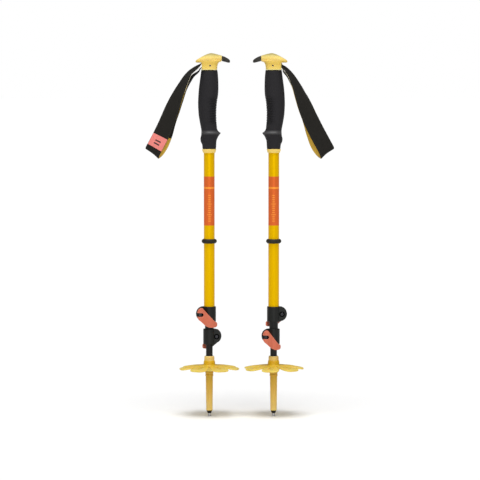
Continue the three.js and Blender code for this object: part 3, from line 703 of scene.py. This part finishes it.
FERRULE_COLLAR, FERRULE_TOP = 68.0, 80.0
COLLAR_RADIUS = 6.9
HUB_BOTTOM, HUB_RIM, HUB_TOP = 76.5, 87.3, 102.5
PETALS = 7
PETAL_REACH = 50.5
PETAL_DROOP = 5.0
PETAL_THICK = 2.8
PETAL_SINK, PETAL_RIB = 0.4, 0.4  # below the rim, and height of the crown
PETAL_SLOT = ((0.74, 4.2), (0.48, 2.4))  # share of the reach and radius of its two ends
EYELET_RADIUS, EYELET_DROP, EYELET_BEARING = 2.0, 7.0, -36.0
PETAL = [  # share of the reach, half width
    (0.14, 4.0), (0.26, 5.6), (0.45, 9.6), (0.65, 13.2), (0.82, 14.8), (0.94, 12.8),
    (1.0, 7.0),
]
BASKET_PHASE = {"left": 39.4, "right": 30.4}


def tip_point():
    """Steel tip with a hollowed end and a sharp ring round it."""
    profile = [
        (0, 0.5), (1.1, 0.5), (1.9, 0), (2.5, 0.5), (2.5, 4.6), (1.6, 4.6), (1.6, 16), (0, 16)
    ]
    return clean_mesh(*turned(profile, 0.15, 48))


def tip_holder():
    profile = [
        (1.9, 4.9), (2.9, 4.9), (4.3, 7.8), (4.7, 8.6), (4.7, 9.4), (3.2, 9.4), (3.2, 28), (1.9, 28)
    ]
    return clean_mesh(*turned(profile, 0.25, 72))


def tip_ferrule():
    """Tapered plastic tip with a rim at its foot and a screw thread's ridges at its collar."""
    crest, root, base = COLLAR_RADIUS, 6.3, FERRULE_COLLAR
    profile = [(3.5, 9.7), (5.1, 9.7), (5.6, 10.3), (5.6, 12.2), (5.45, 12.8), (6.2, base)]
    for ridge in (0.8, 5.4, 9.2):
        profile += [(crest, base + ridge), (crest, base + ridge + 1.6), (root, base + ridge + 2.4)]
    profile = profile[:-1] + [
        (crest, FERRULE_TOP), (6.0, FERRULE_TOP), (6.0, 76), (4.7, 74), (4.7, 39.7), (3.5, 39.7)
    ]
    return clean_mesh(*turned(profile, 0.35, 96))


def petal():
    """One drooping petal along +X with its lightening slot and a shallow crown."""
    count = 48
    rows = filled([(share * PETAL_REACH, half) for share, half in PETAL], 40)
    rings = []
    for x, half in rows:
        share = x / PETAL_REACH
        top = HUB_RIM - PETAL_DROOP * share**2
        thick = PETAL_THICK * (1.5 - 0.6 * share)
        u, v = squared_ring(count, 5.0)
        rib = PETAL_RIB * np.cos(np.clip(u, -1, 1) * math.pi / 2) * (v > 0)
        level = top - PETAL_SINK + (v - 1) * thick / 2 + rib
        rings.append(np.column_stack([np.full(count, x), u * half, level]))
    (outer, outer_radius), (inner, inner_radius) = PETAL_SLOT
    slot = arc(outer_radius, -math.pi / 2, math.pi / 2, (outer * PETAL_REACH, 0), 16)
    slot += arc(inner_radius, math.pi / 2, 1.5 * math.pi, (inner * PETAL_REACH, 0), 16)
    cutter = prism(slot, HUB_RIM - 20, HUB_RIM + 10)
    return combined(clean_mesh(*skin(rings)), [cutter], "DIFFERENCE")


def basket(phase):
    bore, shaft = COLLAR_RADIUS + GAP, 5.7 + GAP
    hub = [(bore, HUB_BOTTOM), (8.2, HUB_BOTTOM), (9.6, 78.2), (11, HUB_RIM - 4), (10.8, HUB_RIM)]
    hub += [
        (10.0, HUB_RIM + 1.2), (9.7, 92), (9.2, 94.6), (8.6, 95.4), (8.7, HUB_TOP - 3), (7.95, HUB_TOP)
    ]
    hub += [(shaft, HUB_TOP), (shaft, FERRULE_TOP + GAP), (bore, FERRULE_TOP + GAP)]
    whole = clean_mesh(*turned(hub, 0.4, 96))
    leaf = petal()
    leaf_points = points_of(leaf)
    leaf_faces = [tuple(f.vertices) for f in leaf.polygons]
    leaves = []
    for i in range(PETALS):
        turn = Matrix.Rotation(math.radians(phase + i * 360 / PETALS), 3, "Z")
        leaves.append((leaf_points @ np.array(turn).T, leaf_faces))
    whole = combined(whole, leaves, "UNION")
    eyelet = rod(EYELET_RADIUS, (0, HUB_TOP - EYELET_DROP), -FAR, -bore, "x", 32)
    turn = np.array(Matrix.Rotation(math.radians(EYELET_BEARING), 3, "Z"))
    eyelet = (eyelet[0] @ turn.T, eyelet[1])
    bores = [
        rod(bore, (0, 0), HUB_BOTTOM - FAR, FERRULE_TOP + GAP, "z", 96),
        rod(shaft, (0, 0), HUB_BOTTOM - FAR, HUB_TOP + FAR, "z", 96),
        eyelet,
    ]
    return moulded(combined(whole, bores, "DIFFERENCE"), voxel=0.42, passes=4)


# ------------------------------------------------------------------ tubes

UPPER_TUBE = (9.1, 162.0, 584.0)
MIDDLE_TUBE = (7.4, 122.0, 563.0)
LOWER_TUBE = (5.7, 40.0, 536.0)


def tube(radius, bottom, top):
    wall = [(radius - 1, bottom), (radius, bottom), (radius, top), (radius - 1, top)]
    return clean_mesh(*turned(wall, 0.25))


def lower_tube():
    radius, bottom, top = LOWER_TUBE
    wall = [(3.4, bottom), (4.4, bottom), (4.4, 74), (radius, 76.4), (radius, top)]
    wall += [(radius - 1, top), (radius - 1, 77), (3.4, 74.6)]
    return clean_mesh(*turned(wall, 0.25))


# ------------------------------------------------------------------ lever clamps

UPPER_CLAMP = {
    "radius": 9.1, "wall": 2.2, "bottom": 161.0, "top": 186.7, "boss": 12.3, "skirt": 0, "root": 7.2
}
LOWER_CLAMP = {
    "radius": 7.4, "wall": 3.0, "bottom": 123.0, "top": 148.7, "boss": 12.0, "skirt": 30, "root": 6.8
}
EAR_FRONT, EAR_BACK, EAR_SPLIT = 4.4, 6.5, 1.6
LEVER_THICK, LEVER_ROOT = 3.0, 7.2
LEVER_OUTLINE = [  # 0 for across from the near wall or 1 from the far, across, depth below top
    (0, -1.5, 2.9), (0, -4, 2.1), (0, -6.7, 2.6), (0, -9.1, 4.3), (0, -10.7, 7.1),
    (0, -11.6, 10.6), (0, -11.6, 14.4), (0, -10.6, 18.2), (0, -8.6, 21.4),
    (0, -5, 24.2), (0, -1.4, 27.5), (0, 1.4, 30.6), (0, 5, 33), (0, 9, 34.6),
    (1, -4.1, 35), (1, -0.4, 35), (1, 2.8, 34.2), (1, 4.4, 32.6), (1, 4.6, 28.4),
    (1, 3.2, 26.2), (1, 0.5, 25),
]
LEVER_WRAP = (1.19 * math.pi, 1.88 * math.pi)  # where its arm starts and ends round the tube
SLOT_HALF, SLOT_PAST_SCREW = 3.2, 1.4
BOSS_OUT, BOSS_DROP = 1.1, 0.1  # from the tube's wall, and from the clamp's top
SPLIT_DEPTH = 3.0  # how far the ears' split goes into the tube's circle
SCREW_OUT, SCREW_DROP, SCREW_RADIUS = 5.0, 13.0, 2.0
SEAT_RADIUS, SEAT_Y = 4.5, 3.5
BARREL_RADIUS, BARREL_HALF = 3.0, 6.8
BARREL_Y = -(EAR_FRONT + 2 * GAP + LEVER_ROOT)


def screw_place(clamp):
    return -(clamp["radius"] + SCREW_OUT), clamp["top"] - SCREW_DROP


def clamp_body(clamp):
    """Collar with a round boss, split down its ears, with a recessed screw seat."""
    radius, bottom, top, boss = (clamp[key] for key in ("radius", "bottom", "top", "boss"))
    outer, bore = radius + clamp["wall"], radius + GAP
    x, z = screw_place(clamp)
    boss_x, boss_z = -(radius + BOSS_OUT), top - boss - BOSS_DROP
    collar = [(bore, bottom), (outer, bottom), (outer, top), (bore, top)]
    solid = clean_mesh(*turned(collar, 0.7))
    ears = [rod(boss, (boss_x, boss_z), -EAR_FRONT, EAR_BACK, "y", 96)]
    if clamp["skirt"]:
        foot = top - clamp["skirt"]
        web = [
            (boss_x - 0.78 * boss, boss_z - 0.62 * boss), (-(radius - 2), foot), (0, foot), (0, boss_z)
        ]
        ears.append(prism(web, -EAR_FRONT, EAR_BACK, "y"))
    solid = combined(solid, ears, "UNION")
    cuts = [
        rod(bore, (0, 0), bottom - FAR, top + FAR, "z", SIDES),
        block(-FAR, SPLIT_DEPTH - radius, -EAR_SPLIT / 2, EAR_SPLIT / 2, bottom - FAR, top + FAR),
        rod(SCREW_RADIUS + GAP, (x, z), -FAR, FAR, "y", 32),
        rod(SEAT_RADIUS, (x, z), SEAT_Y, FAR, "y", 48),
    ]
    return moulded(combined(solid, cuts, "DIFFERENCE"), voxel=0.3, passes=5)


def clamp_lever(clamp):
    """Curved lever: a slotted root round the barrel nut and an arm wrapping the collar."""
    x, z = screw_place(clamp)
    inner = clamp["radius"] + clamp["wall"] + 2 * GAP
    outer = inner + LEVER_THICK
    outline = [
        ((2 * far - 1) * clamp["radius"] + across, clamp["top"] - drop)
        for far, across, drop in LEVER_OUTLINE
    ]
    start, end = LEVER_WRAP
    arm = arc(outer, start, end) + arc(inner, end, start)
    shoulder = [(x, BARREL_Y - clamp["root"]), (-1.5, -outer + 0.15), (-1.5, -inner - 1)]
    shoulder += [(-(inner + 1) * 0.8, -(inner + 1) * 0.6), (x, BARREL_Y)]
    low, high = z - FAR, z + FAR
    plan = clean_mesh(*prism(arm, low, high))
    plan = combined(
        plan, [rod(clamp["root"], (x, BARREL_Y), low, high), prism(shoulder, low, high)], "UNION"
    )
    shape = combined(plan, [prism(outline, -FAR, 0, "y")], "INTERSECT")
    slot_end = x + SLOT_PAST_SCREW
    cuts = [
        rod(BARREL_RADIUS + GAP, (x, BARREL_Y), low, high),
        rod(inner, (0, 0), low, high),
        block(-FAR, slot_end, -FAR, FAR, z - SLOT_HALF, z + SLOT_HALF),
        rod(SLOT_HALF, (slot_end, z), -FAR, FAR, "y"),
    ]
    return moulded(combined(shape, cuts, "DIFFERENCE"), voxel=0.28, passes=8)


def barrel_nut(clamp):
    x, z = screw_place(clamp)
    low, high = z - BARREL_HALF, z + BARREL_HALF
    profile = [(0, low), (BARREL_RADIUS, low), (BARREL_RADIUS, high), (0, high)]
    points, faces = turned(profile, 0.5, 48)
    nut = clean_mesh(points + np.array([x, BARREL_Y, 0]), faces)
    hole = rod(SCREW_RADIUS + GAP, (x, z), BARREL_Y - 1, 0, "y", 32)
    return combined(nut, [hole], "DIFFERENCE")


def clamp_screw(clamp):
    """Round-headed screw with a hexagon socket."""
    x, z = screw_place(clamp)
    shank = [(0, BARREL_Y - 0.5), (SCREW_RADIUS, BARREL_Y - 0.5)]
    profile = [*shank, (SCREW_RADIUS, 3.8), (3.9, 3.8), (3.9, 4.5), (2.6, 6.2), (0, 6.2)]
    points, faces = turned(profile, 0.3, 64)
    points = points[:, [0, 2, 1]] + np.array([x, 0, z])
    return combined(clean_mesh(points, faces), [rod(1.8, (x, z), 4.8, FAR, "y", 6)], "DIFFERENCE")


# ------------------------------------------------------------------ grip

SHAFT_RING_Z = 297.5
FOAM_TOP, HEAD_BOTTOM = 586.2, 586.5
PIN_X, PIN_Z, PIN_RADIUS, PIN_HALF = 1.9, 593.6, 1.2, 12.8
PEG_RADIUS, PEG_Z = 2.0, 606.0
POCKET_FRONT, POCKET_HALF, POCKET_SPAN = 8.0, 10.4, (587.3, 598.7)

FOAM = [  # height, reach to the front, reach to the back, half width
    (453.7, 11.6, 11.2, 11.4), (460, 12, 11.8, 12.2), (466.6, 12.4, 14.4, 13.2),
    (471, 13.8, 14.8, 13.6), (475, 15.8, 13.8, 14.6), (478, 18, 13.4, 15.8),
    (480.2, 19.4, 13.3, 16.4), (482.4, 16.6, 13.2, 15.2), (485.5, 14.2, 13.3, 14.2),
    (489, 13.2, 13.9, 14.2), (500, 12.7, 16, 14.6), (513, 12.4, 17.9, 15.1),
    (530, 13.4, 18.7, 15.5), (543, 15, 18.2, 15.6), (556, 15.7, 17.2, 15.6),
    (568, 15.5, 15.6, 15.5), (578, 14.9, 14.3, 15.1), (FOAM_TOP, 14, 13.2, 14.7),
]
CAP = [  # place along X, underside, top, half width
    (-22.8, 599.4, 601.6, 3), (-20.5, 598.7, 603.8, 7.5), (-16.8, 598.3, 606.1, 11.3),
    (-10, 598.2, 610, 14.2), (-2.4, 598.2, 613.3, 15.4), (3, 598.2, 614.7, 15.4),
    (11.2, 598.4, 613.4, 13.2), (17.5, 599.6, 611.6, 9.8), (21.4, 601, 610.6, 7.2),
]
BEAK = [
    (21.7, 601.1, 610.4, 7), (26, 600.1, 608.7, 5.8), (30, 599.1, 606.7, 4.6),
    (33.4, 598.4, 604.4, 3.2), (35.2, 599.4, 602.2, 1.4),
]
NECK = [
    (HEAD_BOTTOM, 13.8, 13.9, 14.6), (588, 13.6, 13.9, 14.4), (594, 14.2, 14, 14.4),
    (599, 16.4, 14.6, 14.6), (602.5, 20.4, 15.4, 14.6),
]
BORE = 9.4  # radius inside the rings and the foam
FOAM_END_SHARE = 1 - 0.9 / 14  # how far the foam's two end rings are drawn in


def shaft_ring():
    z, half, radius = SHAFT_RING_Z, 3.7, 13.0
    profile = [
        (BORE, z - half), (radius - 2.4, z - half), (radius - 0.4, z - half / 2), (radius, z)
    ]
    profile += [(radius - 0.4, z + half / 2), (radius - 2.4, z + half), (BORE, z + half)]
    return clean_mesh(*turned(profile, 0.9))


def end_ring():
    profile = [(BORE, 447), (10.5, 447), (11.5, 450.8), (11.8, 451.6)]
    profile += [(11.8, 452.8), (11.4, 453.4), (BORE, 453.4)]
    return clean_mesh(*turned(profile, 0.3))


def grip_foam():
    """Foam sleeve with a flared stop at its foot and shallow finger ridges on its front."""
    count = 120
    u, v = squared_ring(count, 2.15)
    turn = np.arctan2(v, u)
    rings = []
    for z, front, back, half in filled(FOAM, 340):
        reach = np.where(u > 0, front, back)
        into = np.clip((z - RIDGE_RUN[0]) / RIDGE_FADE, 0, 1)
        out = np.clip((RIDGE_RUN[1] - z) / RIDGE_FADE, 0, 1)
        facing = np.clip(1.9 - np.abs(turn), 0, 0.6) / 0.6
        wave = 0.5 - 0.5 * math.cos(2 * math.pi * z / RIDGE_PITCH)
        groove = RIDGE_DEPTH * wave * into * out * facing
        rings.append(
            np.column_stack([u * (reach - groove), v * (half - groove), np.full(count, z)])
        )
    rings = np.array(rings)
    rings[[0, -1], :, :2] *= FOAM_END_SHARE
    bore = [BORE * np.cos(turn), BORE * np.sin(turn)]
    inner = [np.column_stack([*bore, np.full(count, z)]) for z in (FOAM_TOP, FOAM[0][0])]
    return clean_mesh(*skin(np.concatenate([rings, inner]), looped=True))


def forward_loft(table, count, power, steps):
    u, v = squared_ring(count, power)
    rings = []
    for x, low, high, half in filled(table, steps):
        level = (low + high) / 2 + v * (high - low) / 2
        rings.append(np.column_stack([np.full(count, x), u * half, level]))
    return skin(rings)


def upright_loft(table, count, power, steps):
    u, v = squared_ring(count, power)
    rings = []
    for z, front, back, half in filled(table, steps):
        rings.append(
            np.column_stack([u * np.where(u > 0, front, back), v * half, np.full(count, z)])
        )
    return skin(rings)


def grip_head():
    """Cap and neck in one moulding, with the strap's pocket and the pin's hole."""
    cap = clean_mesh(*forward_loft(CAP, 96, 2.5, 60))
    spigot = turned([(0, 568), (6.8, 568), (7.8, 569), (7.8, 588), (0, 588)], 0.2)
    body = combined(cap, [upright_loft(NECK, 96, 3.6, 30), spigot], "UNION")
    cuts = [
        block(-FAR, POCKET_FRONT, -POCKET_HALF, POCKET_HALF, *POCKET_SPAN),
        rod(PIN_RADIUS + GAP, (PIN_X, PIN_Z), -FAR, FAR, "y", 32),
        rod(PEG_RADIUS + GAP, (0, PEG_Z), 15, FAR, "x", 32),
    ]
    return moulded(combined(body, cuts, "DIFFERENCE"), voxel=0.36, passes=5)


def beak_insert():
    beak = clean_mesh(*forward_loft(BEAK, 64, 2.4, 40))
    beak = combined(beak, [rod(PEG_RADIUS, (0, PEG_Z), 15.5, 23, "x", 32)], "UNION")
    return moulded(beak, voxel=0.25, passes=5)


def strap_pin():
    profile = [(0, -PIN_HALF), (PIN_RADIUS, -PIN_HALF), (PIN_RADIUS, PIN_HALF), (0, PIN_HALF)]
    points, faces = turned(profile, 0.3, 48)
    return clean_mesh(points[:, [0, 2, 1]] + np.array([PIN_X, 0, PIN_Z]), faces)


# ------------------------------------------------------------------ strap

LEG_START = -12.9
LEG_HALF_GAP = 8.0
WEB_THICK, LINING_THICK = 1.6, 0.9
HEAD_HALF, PALM_HALF = 9.8, 13.6
FACE_ON = np.array([-0.81, 0, 0.59])
STRAP_SIDE = {"left": 1, "right": -1}
STRAP_NEAR = {"left": 0, "right": 1}
STRAP = [  # x, y as a share of the half gap, z, share of the turn from edge-on to face-on,
    # and how much nearer its pole the right strap hangs, eased by up to 3 mm from the CAD
    (LEG_START, 0, 597, 0, 0), (-15.9, 0, 594.6, 0.08, 2.6),
    (-22, -0.1, 590.1, 0.18, 4.1), (-34.5, -0.3, 579.5, 0.24, 6.8),
    (-46.6, -0.6, 557.5, 0.45, 7.4), (-55.3, -0.85, 538.5, 0.63, 8.4),
    (-62.6, -1, 520, 0.8, 8.2), (-70.2, -1, 500, 0.95, 6.8), (-79.3, -1, 480, 1, 5.9),
    (-89.1, -1, 461, 1, 5.4), (-94.8, -0.78, 450.5, 1, 5.6), (-95.4, 0, 446.6, 1, 6),
    (-89.6, 0.78, 450.5, 1, 6.4), (-82.4, 1, 461, 1, 6.8), (-74.9, 1, 480, 1, 6.4),
    (-69.2, 1, 500, 0.95, 6.6), (-61.1, 1, 520, 0.8, 5.8),
    (-52.8, 0.85, 538.5, 0.63, 5.2), (-42.7, 0.6, 557.5, 0.4, 5.2),
    (-27.2, 0.3, 576.2, 0.13, 3.5), (-17.4, 0.1, 584.2, 0.05, 1.2),
    (-15.4, 0, 587.6, 0.02, 0.2), (LEG_START, 0, 590.2, 0, 0),
]
ANCHOR = [  # the webbing inside the head, round the pin
    (-8, 0, 590.4, 0, 0), (-3, 0, 590.4, 0, 0), (1.9, 0, 590.4, 0, 0),
    (4.2, 0, 591.3, 0, 0), (5.1, 0, 593.6, 0, 0), (4.2, 0, 595.9, 0, 0),
    (1.9, 0, 596.8, 0, 0), (-3, 0, 596.8, 0, 0), (-8, 0, 596.8, 0, 0),
]
LAST_ROW = len(STRAP) - 1
LINING_START = 3.6  # rows of the table where the lining starts and ends
LINING_END = {"left": 13.8, "right": 15.7}
PATCH_ROWS = (8.25, 9.45)
EDGE_SEAM = {"low": 1.8, "high": 20.2, "length": 2.6, "gap": 0.9, "radius": 0.22}
WHIP_SEAM = {"low": 1.3, "high": 4.4, "length": 1.5, "gap": 1.1, "radius": 0.5}
STEPS = 12  # rings between two rows of the strap's table


def catmull(p, steps):
    """A closed centripetal Catmull-Rom curve through the rows of p, steps points to a row."""
    count = len(p)
    rows = []
    for i in range(count):
        a, b, c, d = (p[(i + k) % count] for k in (-1, 0, 1, 2))
        t = [max(np.linalg.norm(q - r), 1e-6) ** 0.5 for q, r in ((b, a), (c, b), (d, c))]
        m1 = ((b - a) / t[0] - (c - a) / (t[0] + t[1]) + (c - b) / t[1]) * t[1]
        m2 = ((c - b) / t[1] - (d - b) / (t[1] + t[2]) + (d - c) / t[2]) * t[1]
        for s in range(steps):
            w = s / steps
            q = b * (2 * w**3 - 3 * w**2 + 1) + c * (3 * w**2 - 2 * w**3)
            rows.append(q + m1 * (w**3 - 2 * w**2 + w) + m2 * (w**3 - w**2))
    return np.array(rows)


def strap_path(pole):
    """Points, width directions, outward normals, half widths and lengths round the loop."""
    side = STRAP_SIDE[pole]
    table = np.array(STRAP + ANCHOR, float)
    knots = table[:, :3] * np.array([1, side * LEG_HALF_GAP, 1])
    knots[:, 0] += STRAP_NEAR[pole] * table[:, 4]
    points = catmull(knots, STEPS)
    index = np.arange(len(points)) / STEPS
    turn = np.interp(index, np.arange(len(table) + 1), np.append(table[:, 3], table[0, 3]))
    tangent = np.roll(points, -1, 0) - np.roll(points, 1, 0)
    tangent /= np.linalg.norm(tangent, axis=1)[:, None]
    angle = (turn * math.pi / 2)[:, None]
    width = np.cos(angle) * np.array([0, 1, 0]) + side * np.sin(angle) * FACE_ON
    width -= (width * tangent).sum(1)[:, None] * tangent
    width /= np.linalg.norm(width, axis=1)[:, None]
    step = np.linalg.norm(np.roll(points, -1, 0) - points, axis=1)
    return {
        "index": index,
        "point": points,
        "width": width,
        "normal": np.cross(width, tangent),
        "half": HEAD_HALF + (PALM_HALF - HEAD_HALF) * turn,
        "along": np.concatenate([[0], np.cumsum(step)[:-1]]),
    }


def band(path, rows, lift, thick, extra, looped, shift=0.0, count=36, ends=0.0):
    """A flat band with rounded edges over some rows of the strap, standing off it by lift.
    Its mesh remembers where each point is across, along and through the cloth."""
    u, v = squared_ring(count, 6.0)
    taper = np.ones(len(rows))
    if ends:
        place = path["along"][rows]
        edge = np.minimum(place - place[0], place[-1] - place)
        taper = 0.35 + 0.65 * np.clip(edge / ends, 0, 1) ** 0.5
    rings, cloth = [], []
    middle = path["along"][rows].mean()
    for row, squeeze in zip(rows, taper, strict=True):
        half = path["half"][row] + extra
        across = (u * half + shift)[:, None] * path["width"][row]
        through = (lift + v * thick * squeeze / 2)[:, None] * path["normal"][row]
        rings.append(path["point"][row] + across + through)
        along = np.full(count, path["along"][row] - (0 if looped else middle))
        cloth.append(np.column_stack([u * half, along, v]))
    points, faces = skin(rings, looped)
    mesh = bpy.data.meshes.new("band")
    mesh.from_pydata([tuple(p) for p in points], [], faces)
    edit = bmesh.new()
    edit.from_mesh(mesh)
    bmesh.ops.recalc_face_normals(edit, faces=edit.faces)
    edit.to_mesh(mesh)
    edit.free()
    remember(mesh, "cloth", np.concatenate(cloth))
    return mesh


def rows_between(path, low, high):
    return [i for i, at in enumerate(path["index"]) if low <= at <= high]


def stitches(path, low, high, offset, lift, length, gap, radius):
    """A row of small raised stitches along the strap, offset mm in from its edge."""
    rows = rows_between(path, low, high)
    along = path["along"][rows]
    starts = np.arange(along[0], along[-1] - length, length + gap)
    ring = np.linspace(0, 2 * math.pi, 8, endpoint=False)
    points, faces = [], []
    for start in starts:
        rings = []
        for share in np.linspace(0, 1, 6):
            at = start + share * length
            centre, width, normal = (
                np.array([np.interp(at, along, path[key][rows][:, k]) for k in range(3)])
                for key in ("point", "width", "normal")
            )
            half = np.interp(at, along, path["half"][rows])
            size = radius * max(math.sin(math.pi * (0.08 + 0.84 * share)), 0.25)
            middle = centre + width * (half - abs(offset)) * math.copysign(1, offset) + normal * lift
            rings.append(
                [middle + size * (math.cos(a) * width + math.sin(a) * normal) for a in ring]
            )
        p, f = skin(rings)
        base = len(points)
        points.extend(p)
        faces.extend([tuple(base + k for k in face) for face in f])
    return clean_mesh(points, faces)


def put_strap(pole):
    path = strap_path(pole)
    side = STRAP_SIDE[pole]
    everything = list(range(len(path["index"])))
    webbing = band(path, everything, 0, WEB_THICK, 0, True)
    stands_for = ["strap_webbing", "strap_anchor"]
    obj = put(pole, "strap_webbing", webbing, "strap_fabric", sharp=60, nodes=stands_for)
    bend_at_exit(obj)
    lift = -(WEB_THICK + LINING_THICK) / 2 - 0.05
    rows = rows_between(path, LINING_START, LINING_END[pole])
    lining = band(path, rows, lift, LINING_THICK, -0.2, False, -0.1 * side, ends=5.0)
    put(pole, "strap_lining", lining, "strap_lining", sharp=60)
    span = PATCH_ROWS if pole == "left" else tuple(LAST_ROW - at for at in reversed(PATCH_ROWS))
    patch = band(path, rows_between(path, *span), WEB_THICK / 2 + 0.25, 0.6, -0.4, False)
    put(pole, "strap_patch", patch, "patch_coral", sharp=60)
    for name, offset in (("edge_stitches_a", 1.8), ("edge_stitches_b", -1.8)):
        seam = stitches(path, offset=offset, lift=WEB_THICK / 2 + 0.02, **EDGE_SEAM)
        put(pole, "strap_webbing", seam, "black_thread", suffix=name, nodes=[])
    seam = stitches(path, offset=-0.15 * side, lift=lift, **WHIP_SEAM)
    put(pole, "strap_lining", seam, "pale_thread", suffix="whip_stitches", nodes=[])


def bend_at_exit(obj):
    """Takes the webbing off its body and bakes its place into its mesh."""
    obj.parent = None
    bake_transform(obj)


# ------------------------------------------------------------------ assembly

CLAMPS = (("upper_clamp", UPPER_CLAMP, False), ("lower_clamp", LOWER_CLAMP, True))


def put_clamps():
    for name, clamp, turned_round in CLAMPS:
        makers = (
            ("body", clamp_body, "clamp_black"),
            ("lever", clamp_lever, "lever_coral"),
            ("barrel_nut", barrel_nut, "dark_steel"),
            ("screw", clamp_screw, "dark_steel"),
        )
        for part, make, look in makers:
            mesh = make(clamp)
            if turned_round:
                mesh = half_turned(mesh)
            for pole in POLES:
                put(pole, f"{name}_{part}", mesh, look)


def put_poles():
    plain = (
        ("tip_point", tip_point(), "steel"),
        ("tip_holder", tip_holder(), "tip_black"),
        ("tip_ferrule", tip_ferrule(), "ferrule_gold"),
        ("lower_shaft", lower_tube(), "shaft_black"),
        ("middle_shaft", tube(*MIDDLE_TUBE), "shaft_black"),
        ("upper_shaft", tube(*UPPER_TUBE), "shaft_yellow"),
        ("shaft_ring", shaft_ring(), "ring_rubber"),
        ("grip_end_ring", end_ring(), "grip_yellow"),
        ("grip_foam", grip_foam(), "grip_foam"),
        ("grip_head", grip_head(), "grip_yellow"),
        ("beak_insert", beak_insert(), "beak_rubber"),
        ("strap_pin", strap_pin(), "dark_steel"),
    )
    for pole in POLES:
        for part, mesh, look in plain:
            put(pole, part, mesh, look)
        put(pole, "basket", basket(BASKET_PHASE[pole]), "basket_yellow")
        put_strap(pole)
        for part in ("lower_bush", "middle_bush"):
            frame["nodes"][f"{pole}_{part}"].material_slots[0].material = LOOKS["hidden"]


put_poles()
put_clamps()

# ------------------------------------------------------------------ studio

WORLD_LIGHT = 0.3
LAMPS = (  # name, strength, spread in degrees, direction the light travels
    ("key", 2.5, 32.0, (0.02, 0.3, -0.95)),
    ("front_fill", 0.75, 40.0, (-0.05, 1.0, -0.2)),
)


def make_world():
    """Even white light, a little dimmer than the pure white that the camera sees."""
    world = bpy.data.worlds.new("studio")
    world.use_nodes = True
    bpy.context.scene.world = world
    nodes, links = world.node_tree.nodes, world.node_tree.links
    background = nodes["Background"]
    background.inputs["Color"].default_value = (1, 1, 1, 1)
    path = nodes.new("ShaderNodeLightPath")
    strength = nodes.new("ShaderNodeMapRange")
    strength.inputs["To Min"].default_value = WORLD_LIGHT
    strength.inputs["To Max"].default_value = 1.0
    links.new(path.outputs["Is Camera Ray"], strength.inputs["Value"])
    links.new(strength.outputs[0], background.inputs["Strength"])


def make_lamps():
    for name, strength, spread, direction in LAMPS:
        data = bpy.data.lights.new(name, "SUN")
        data.energy = strength
        data.angle = math.radians(spread)
        lamp = bpy.data.objects.new(name, data)
        lamp.rotation_mode = "QUATERNION"
        lamp.rotation_quaternion = Vector(direction).to_track_quat("-Z", "Y")
        bpy.context.scene.collection.objects.link(lamp)


def make_floor():
    half = 30.0
    mesh = clean_mesh(*block(-half, half, -half, half, -0.02, -0.0004))
    floor = shown("studio_floor", mesh)
    look = Look("studio_floor_look")
    where = look.add("ShaderNodeTexCoord").outputs["Object"]
    look.colour(look.mix(look.noise(where, 3.0), rgb(246, 246, 246), rgb(248, 248, 248)))
    look.shader.inputs["Roughness"].default_value = 0.9
    look.shader.inputs["Specular IOR Level"].default_value = 0.0
    mesh.materials.append(look.material)


make_world()
make_lamps()
make_floor()
bpy.context.scene.view_settings.view_transform = "Standard"
